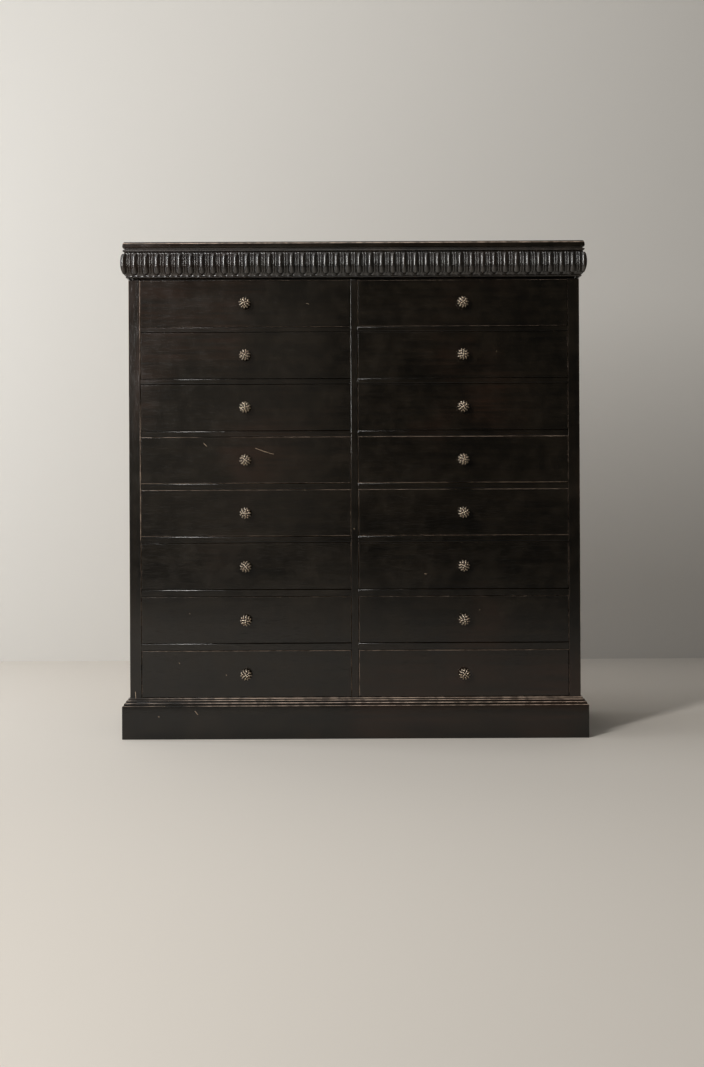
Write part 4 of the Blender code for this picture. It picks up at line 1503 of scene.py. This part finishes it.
@dataclass(frozen=True)
class Drawers:
    """Sixteen drawers: fronts, dovetailed boxes, knobs and ironwork."""

    repeats: Repeats
    side_thickness: float = 0.0110
    back_thickness: float = 0.0110
    bottom_thickness: float = 0.0070
    bottom_lift: float = 0.0100
    groove: float = 0.0060
    tails: int = 3
    tail_length: float = 0.0160
    tail_tip: float = 0.0270
    tail_root: float = 0.0210
    arris: float = 0.00045
    tail_arris: float = 0.0004
    back_inset: float = 0.006
    back_drop: float = 0.005
    panel_gap: float = 0.002
    nut_half: float = 0.005
    nut_depth: float = 0.0044
    nut_arris: float = 0.0007
    bolt_radius: float = 0.0021
    bolt_length: float = 0.0060
    nails: int = 5
    nail_inset: float = 0.012

    def build(self, wood: Finish, pine: Finish, bronze: Finish, iron: Finish) -> None:
        """Builds every drawer.

        Args:
            wood: The finish of the fronts.
            pine: The finish of the boxes.
            bronze: The finish of the knobs.
            iron: The finish of the nuts, bolts and nails.
        """
        knob = Knob().mesh(self.repeats, bronze)
        for bank in ("left", "right"):
            for row in range(1, ROWS + 1):
                label = f"{bank}_{row}"
                self._front(label, wood)
                self._box(label, pine)
                self._knob(label, knob, bronze)
                self._ironwork(label, iron)

    def _front(self, label: str, finish: Finish) -> None:
        """The front, with its sockets and rounded arrises."""
        node = f"drawer_front_{label}"
        bm = solid_copy(node)
        round_arrises(bm, self.arris)
        low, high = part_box(node)
        draft = Draft()
        draft.boards = sum(map(ord, label))
        row = ROW_WEAR_AND_HIGHLIGHT[int(label[-1]) - 1]
        # Arris lines on the front: partly wear and partly painted highlight, stronger at the left end.
        draft.add(bm, Axis.X, low, high, use=lambda _: (row.start, row.end, row.foot, row.head))
        body = f"drawer_{label}"
        settle(f"front_{label}", draft.mesh(node), finish, body, [node], 25.0)

    def _box(self, label: str, finish: Finish) -> None:
        """Sides with dovetails, the back and the bottom."""
        low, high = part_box(f"drawer_box_{label}")
        front_low, front_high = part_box(f"drawer_front_{label}")
        shoulder = front_high[1] + FIT
        tip = shoulder - self.tail_length
        foot, head = low[2], high[2]
        draft = Draft()
        draft.boards = sum(map(ord, label)) % 17
        outline = [(shoulder, foot)]
        height = high[2] - front_low[2]
        root, wide = self.tail_root / 2, self.tail_tip / 2
        tail_shape = ((shoulder, -root), (tip, -wide), (tip, wide), (shoulder, root))
        for tail in range(self.tails):
            middle = front_low[2] + height * (tail + 0.5) / self.tails
            outline += [(y, middle + up) for y, up in tail_shape]
        outline += [(shoulder, head), (high[1], head), (high[1], foot)]
        for outer, push in ((low[0], self.side_thickness), (high[0], -self.side_thickness)):
            bm = extruded([(outer, y, z) for y, z in outline], (push, 0, 0))
            round_arrises(bm, self.tail_arris)
            near, far = sorted((outer, outer + push))
            draft.add(bm, Axis.Y, (near, tip, foot), (far, high[1], head))
        left, right = low[0] + self.side_thickness, high[0] - self.side_thickness
        floor = foot + self.bottom_lift
        back_rear = high[1] - self.back_inset
        back_low = (left - self.groove, back_rear - self.back_thickness, floor + self.panel_gap)
        draft.board(back_low, (right + self.groove, back_rear, head - self.back_drop), Axis.X)
        panel_low = (left - self.groove, shoulder - self.groove, floor)
        panel_high = (right + self.groove, high[1] - self.panel_gap, floor + self.bottom_thickness)
        draft.board(panel_low, panel_high, Axis.X)
        name = f"box_{label}"
        settle(name, draft.mesh(name), finish, f"drawer_{label}", [f"drawer_box_{label}"], 25.0)

    def _knob(self, label: str, shape: Mesh, finish: Finish) -> None:
        """The knob, turned a little differently on each drawer."""
        low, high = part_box(f"drawer_front_{label}")
        middle = Vector(((low[0] + high[0]) / 2, low[1], (low[2] + high[2]) / 2))
        mesh = shape.copy()
        turn = 0.7 * sum(map(ord, label))
        for vert in mesh.vertices:
            x, y, z = vert.co
            vert.co = middle + Vector((x * math.cos(turn) - z * math.sin(turn), y,
                                       x * math.sin(turn) + z * math.cos(turn)))
        name = f"cast_knob_{label}"
        settle(name, mesh, finish, f"drawer_{label}", [f"knob_{label}"], 50.0)

    def _ironwork(self, label: str, finish: Finish) -> None:
        """The knob's bolt with its square nut, and the nails that hold the bottom."""
        low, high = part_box(f"drawer_front_{label}")
        box_low, box_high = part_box(f"drawer_box_{label}")
        x, z = (low[0] + high[0]) / 2, (low[2] + high[2]) / 2
        nut = high[1] + FIT
        draft = Draft()
        half, radius = self.nut_half, self.bolt_radius
        nut_end = (x + half, nut + self.nut_depth, z + half)
        draft.board((x - half, nut, z - half), nut_end, Axis.X, self.nut_arris)
        bolt = bmesh.new()
        bmesh.ops.create_cone(
            bolt, cap_ends=True, segments=12, radius1=radius, radius2=radius, depth=self.bolt_length)
        middle = nut + (self.nut_depth + self.bolt_length) / 2
        bolt = moved(to_mesh(bolt, "bolt"), lambda a, b, c: (x + a, middle + c, z + b))
        draft.add(bolt, Axis.Y, low, high)
        pitch = (box_high[0] - box_low[0]) / self.nails
        head = nail_head(0.0024, 0.0008)
        nails = Repeats.run(self.repeats.row, head, finish, Count=self.nails, Pitch=pitch)
        start, rear = box_low[0] + pitch / 2, box_high[1] - self.nail_inset
        under = box_low[2] + self.bottom_lift
        row = moved(nails, lambda a, b, c: (start + a, rear + c, under + b))
        draft.add(row, Axis.X, box_low, box_high)
        name = f"ironwork_{label}"
        settle(name, draft.mesh(name), finish, f"drawer_{label}")


@dataclass(frozen=True)
class Studio:
    """The floor, the wall, the lamps and the camera."""

    plinth_face: float
    distance: float = 3.866
    eye_height: float = 0.637
    lens: float = 50.0
    roll: float = math.radians(0.26)
    shift_x: float = -0.00245
    shift_y: float = -0.03644
    wall_distance: float = 5.72
    floor_colour: Point = (0.68, 0.635, 0.575)
    wall_colour: Point = (0.58, 0.560, 0.525)

    def build(self) -> None:
        """Builds the studio round the object."""
        wall = self.plinth_face - self.distance + self.wall_distance
        self._sheet("floor", (-6, -8, 0), (6, wall + 6, 0), self.floor_colour)
        self._sheet("wall", (-6, wall, 0), (6, wall, 5), self.wall_colour)
        warm = (1.0, 0.985, 0.96)
        self._lamp("window", (-2.05, -3.7, 2.65), (0.0, -0.2, 2.65), (0.42, 3.1), 165.0, warm)
        self._lamp("side_window", (-3.3, 0.1, 1.5), (0.0, 1.1, 1.1), (1.6, 2.2), 55.0, (0.96, 1.0, 1.05))
        self._lamp("far_wall", (-0.85, -4.7, 1.1), (-0.85, 0.0, 1.1), (1.4, 1.5), 1.9, (1.0, 0.86, 0.70))
        self._lamp("ceiling", (-0.9, -0.9, 3.6), (-0.5, 0.6, 0.0), (3.0, 2.4), 34.0, warm)
        self._floor_light((-2.3, -4.9, 3.1), 290.0, warm)
        world = bpy.data.worlds.new("room")
        world.use_nodes = True
        world.node_tree.nodes["Background"].inputs[0].default_value = (0.85, 0.83, 0.80, 1.0)
        world.node_tree.nodes["Background"].inputs[1].default_value = 0.06
        bpy.context.scene.world = world
        self._camera()
        bpy.context.scene.view_settings.view_transform = "Standard"

    @staticmethod
    def _place(name: str, data: bpy.types.ID, place: Point = (0.0, 0.0, 0.0)) -> bpy.types.Object:
        """Puts a mesh, lamp or camera in the scene."""
        obj = bpy.data.objects.new(name, data)
        obj.location = place
        bpy.context.scene.collection.objects.link(obj)
        return obj

    @staticmethod
    def _sheet(name: str, low: Point, high: Point, colour: Point) -> None:
        """A plain sheet of floor or wall, clear from behind so that the back of the case can be seen."""
        bm = bmesh.new()
        across, up = Vector((high[0] - low[0], 0, 0)), Vector((0, high[1] - low[1], high[2] - low[2]))
        corners = (Vector(), across, across + up, up)
        bm.faces.new([bm.verts.new(Vector(low) + corner) for corner in corners])
        mesh = to_mesh(bm, name)
        material = bpy.data.materials.new(name)
        material.use_nodes = True
        shader = material.node_tree.nodes["Principled BSDF"]
        shader.inputs["Base Color"].default_value = (*colour, 1.0)
        shader.inputs["Roughness"].default_value = 0.8
        nodes, links = material.node_tree.nodes, material.node_tree.links
        kinds = ("ShaderNodeNewGeometry", "ShaderNodeBsdfTransparent", "ShaderNodeMixShader")
        side, clear, mix = (nodes.new(kind) for kind in kinds)
        links.new(side.outputs["Backfacing"], mix.inputs[0])
        links.new(shader.outputs[0], mix.inputs[1])
        links.new(clear.outputs[0], mix.inputs[2])
        links.new(mix.outputs[0], nodes["Material Output"].inputs["Surface"])
        mesh.materials.append(material)
        Studio._place(name, mesh)

    @staticmethod
    def _lamp(name: str, place: Point, target: Point, size: Pair, power: float, colour: Point) -> None:
        """A soft rectangular lamp that points at a target."""
        light = bpy.data.lights.new(name, "AREA")
        light.shape = "RECTANGLE"
        light.size, light.size_y = size
        light.energy = power
        light.color = colour
        lamp = Studio._place(name, light, place)
        lamp.rotation_euler = (Vector(target) - Vector(place)).to_track_quat("-Z", "Y").to_euler()

    @staticmethod
    def _floor_light(place: Point, power: float, colour: Point) -> None:
        """A soft spot straight down on the floor in front, which the lower fronts mirror."""
        light = bpy.data.lights.new("floor_light", "SPOT")
        light.energy, light.color = power, colour
        light.spot_size, light.spot_blend = math.radians(96), 0.5
        light.shadow_soft_size = 0.3
        Studio._place("floor_light", light, place)

    def _camera(self) -> None:
        """The camera at the photograph's viewpoint."""
        data = bpy.data.cameras.new("camera")
        data.lens = self.lens
        data.sensor_width = 36.0
        data.shift_x, data.shift_y = self.shift_x, self.shift_y
        camera = self._place("camera", data, (0.0, self.plinth_face - self.distance, self.eye_height))
        camera.rotation_euler = (math.pi / 2, self.roll, 0.0)
        bpy.context.scene.camera = camera


def main() -> None:
    """Builds the classes in order."""
    logging.basicConfig(level=logging.INFO, format="%(name)s: %(message)s")
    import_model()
    carcass = Carcass.read()
    effects = Effects()
    repeats = Repeats()
    fronts = EbonisedWood("ebonised_drawer_fronts", effects, FRONT_WAX, FRONT_MARKS)
    case_wood = EbonisedWood("ebonised_case", effects, CASE_WAX, CASE_MARKS)
    carved_wood = EbonisedWood("ebonised_carving", effects, CARVING_WAX)
    pine, bronze, iron = BarePine(effects), AgedBronze(effects), OldIron(effects)
    case = Case(carcass)
    case.sides(case_wood)
    case.grid(case_wood, pine)
    case.bottom(case_wood, pine)
    case.back(pine, iron, repeats)
    Top(carcass).build(case_wood)
    Gadroons(carcass).build(carved_wood, repeats)
    Plinth(carcass).build(case_wood)
    Drawers(repeats).build(fronts, pine, bronze, iron)
    Studio(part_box("plinth_front")[0][1]).build()


if __name__ == "__main__":
    main()
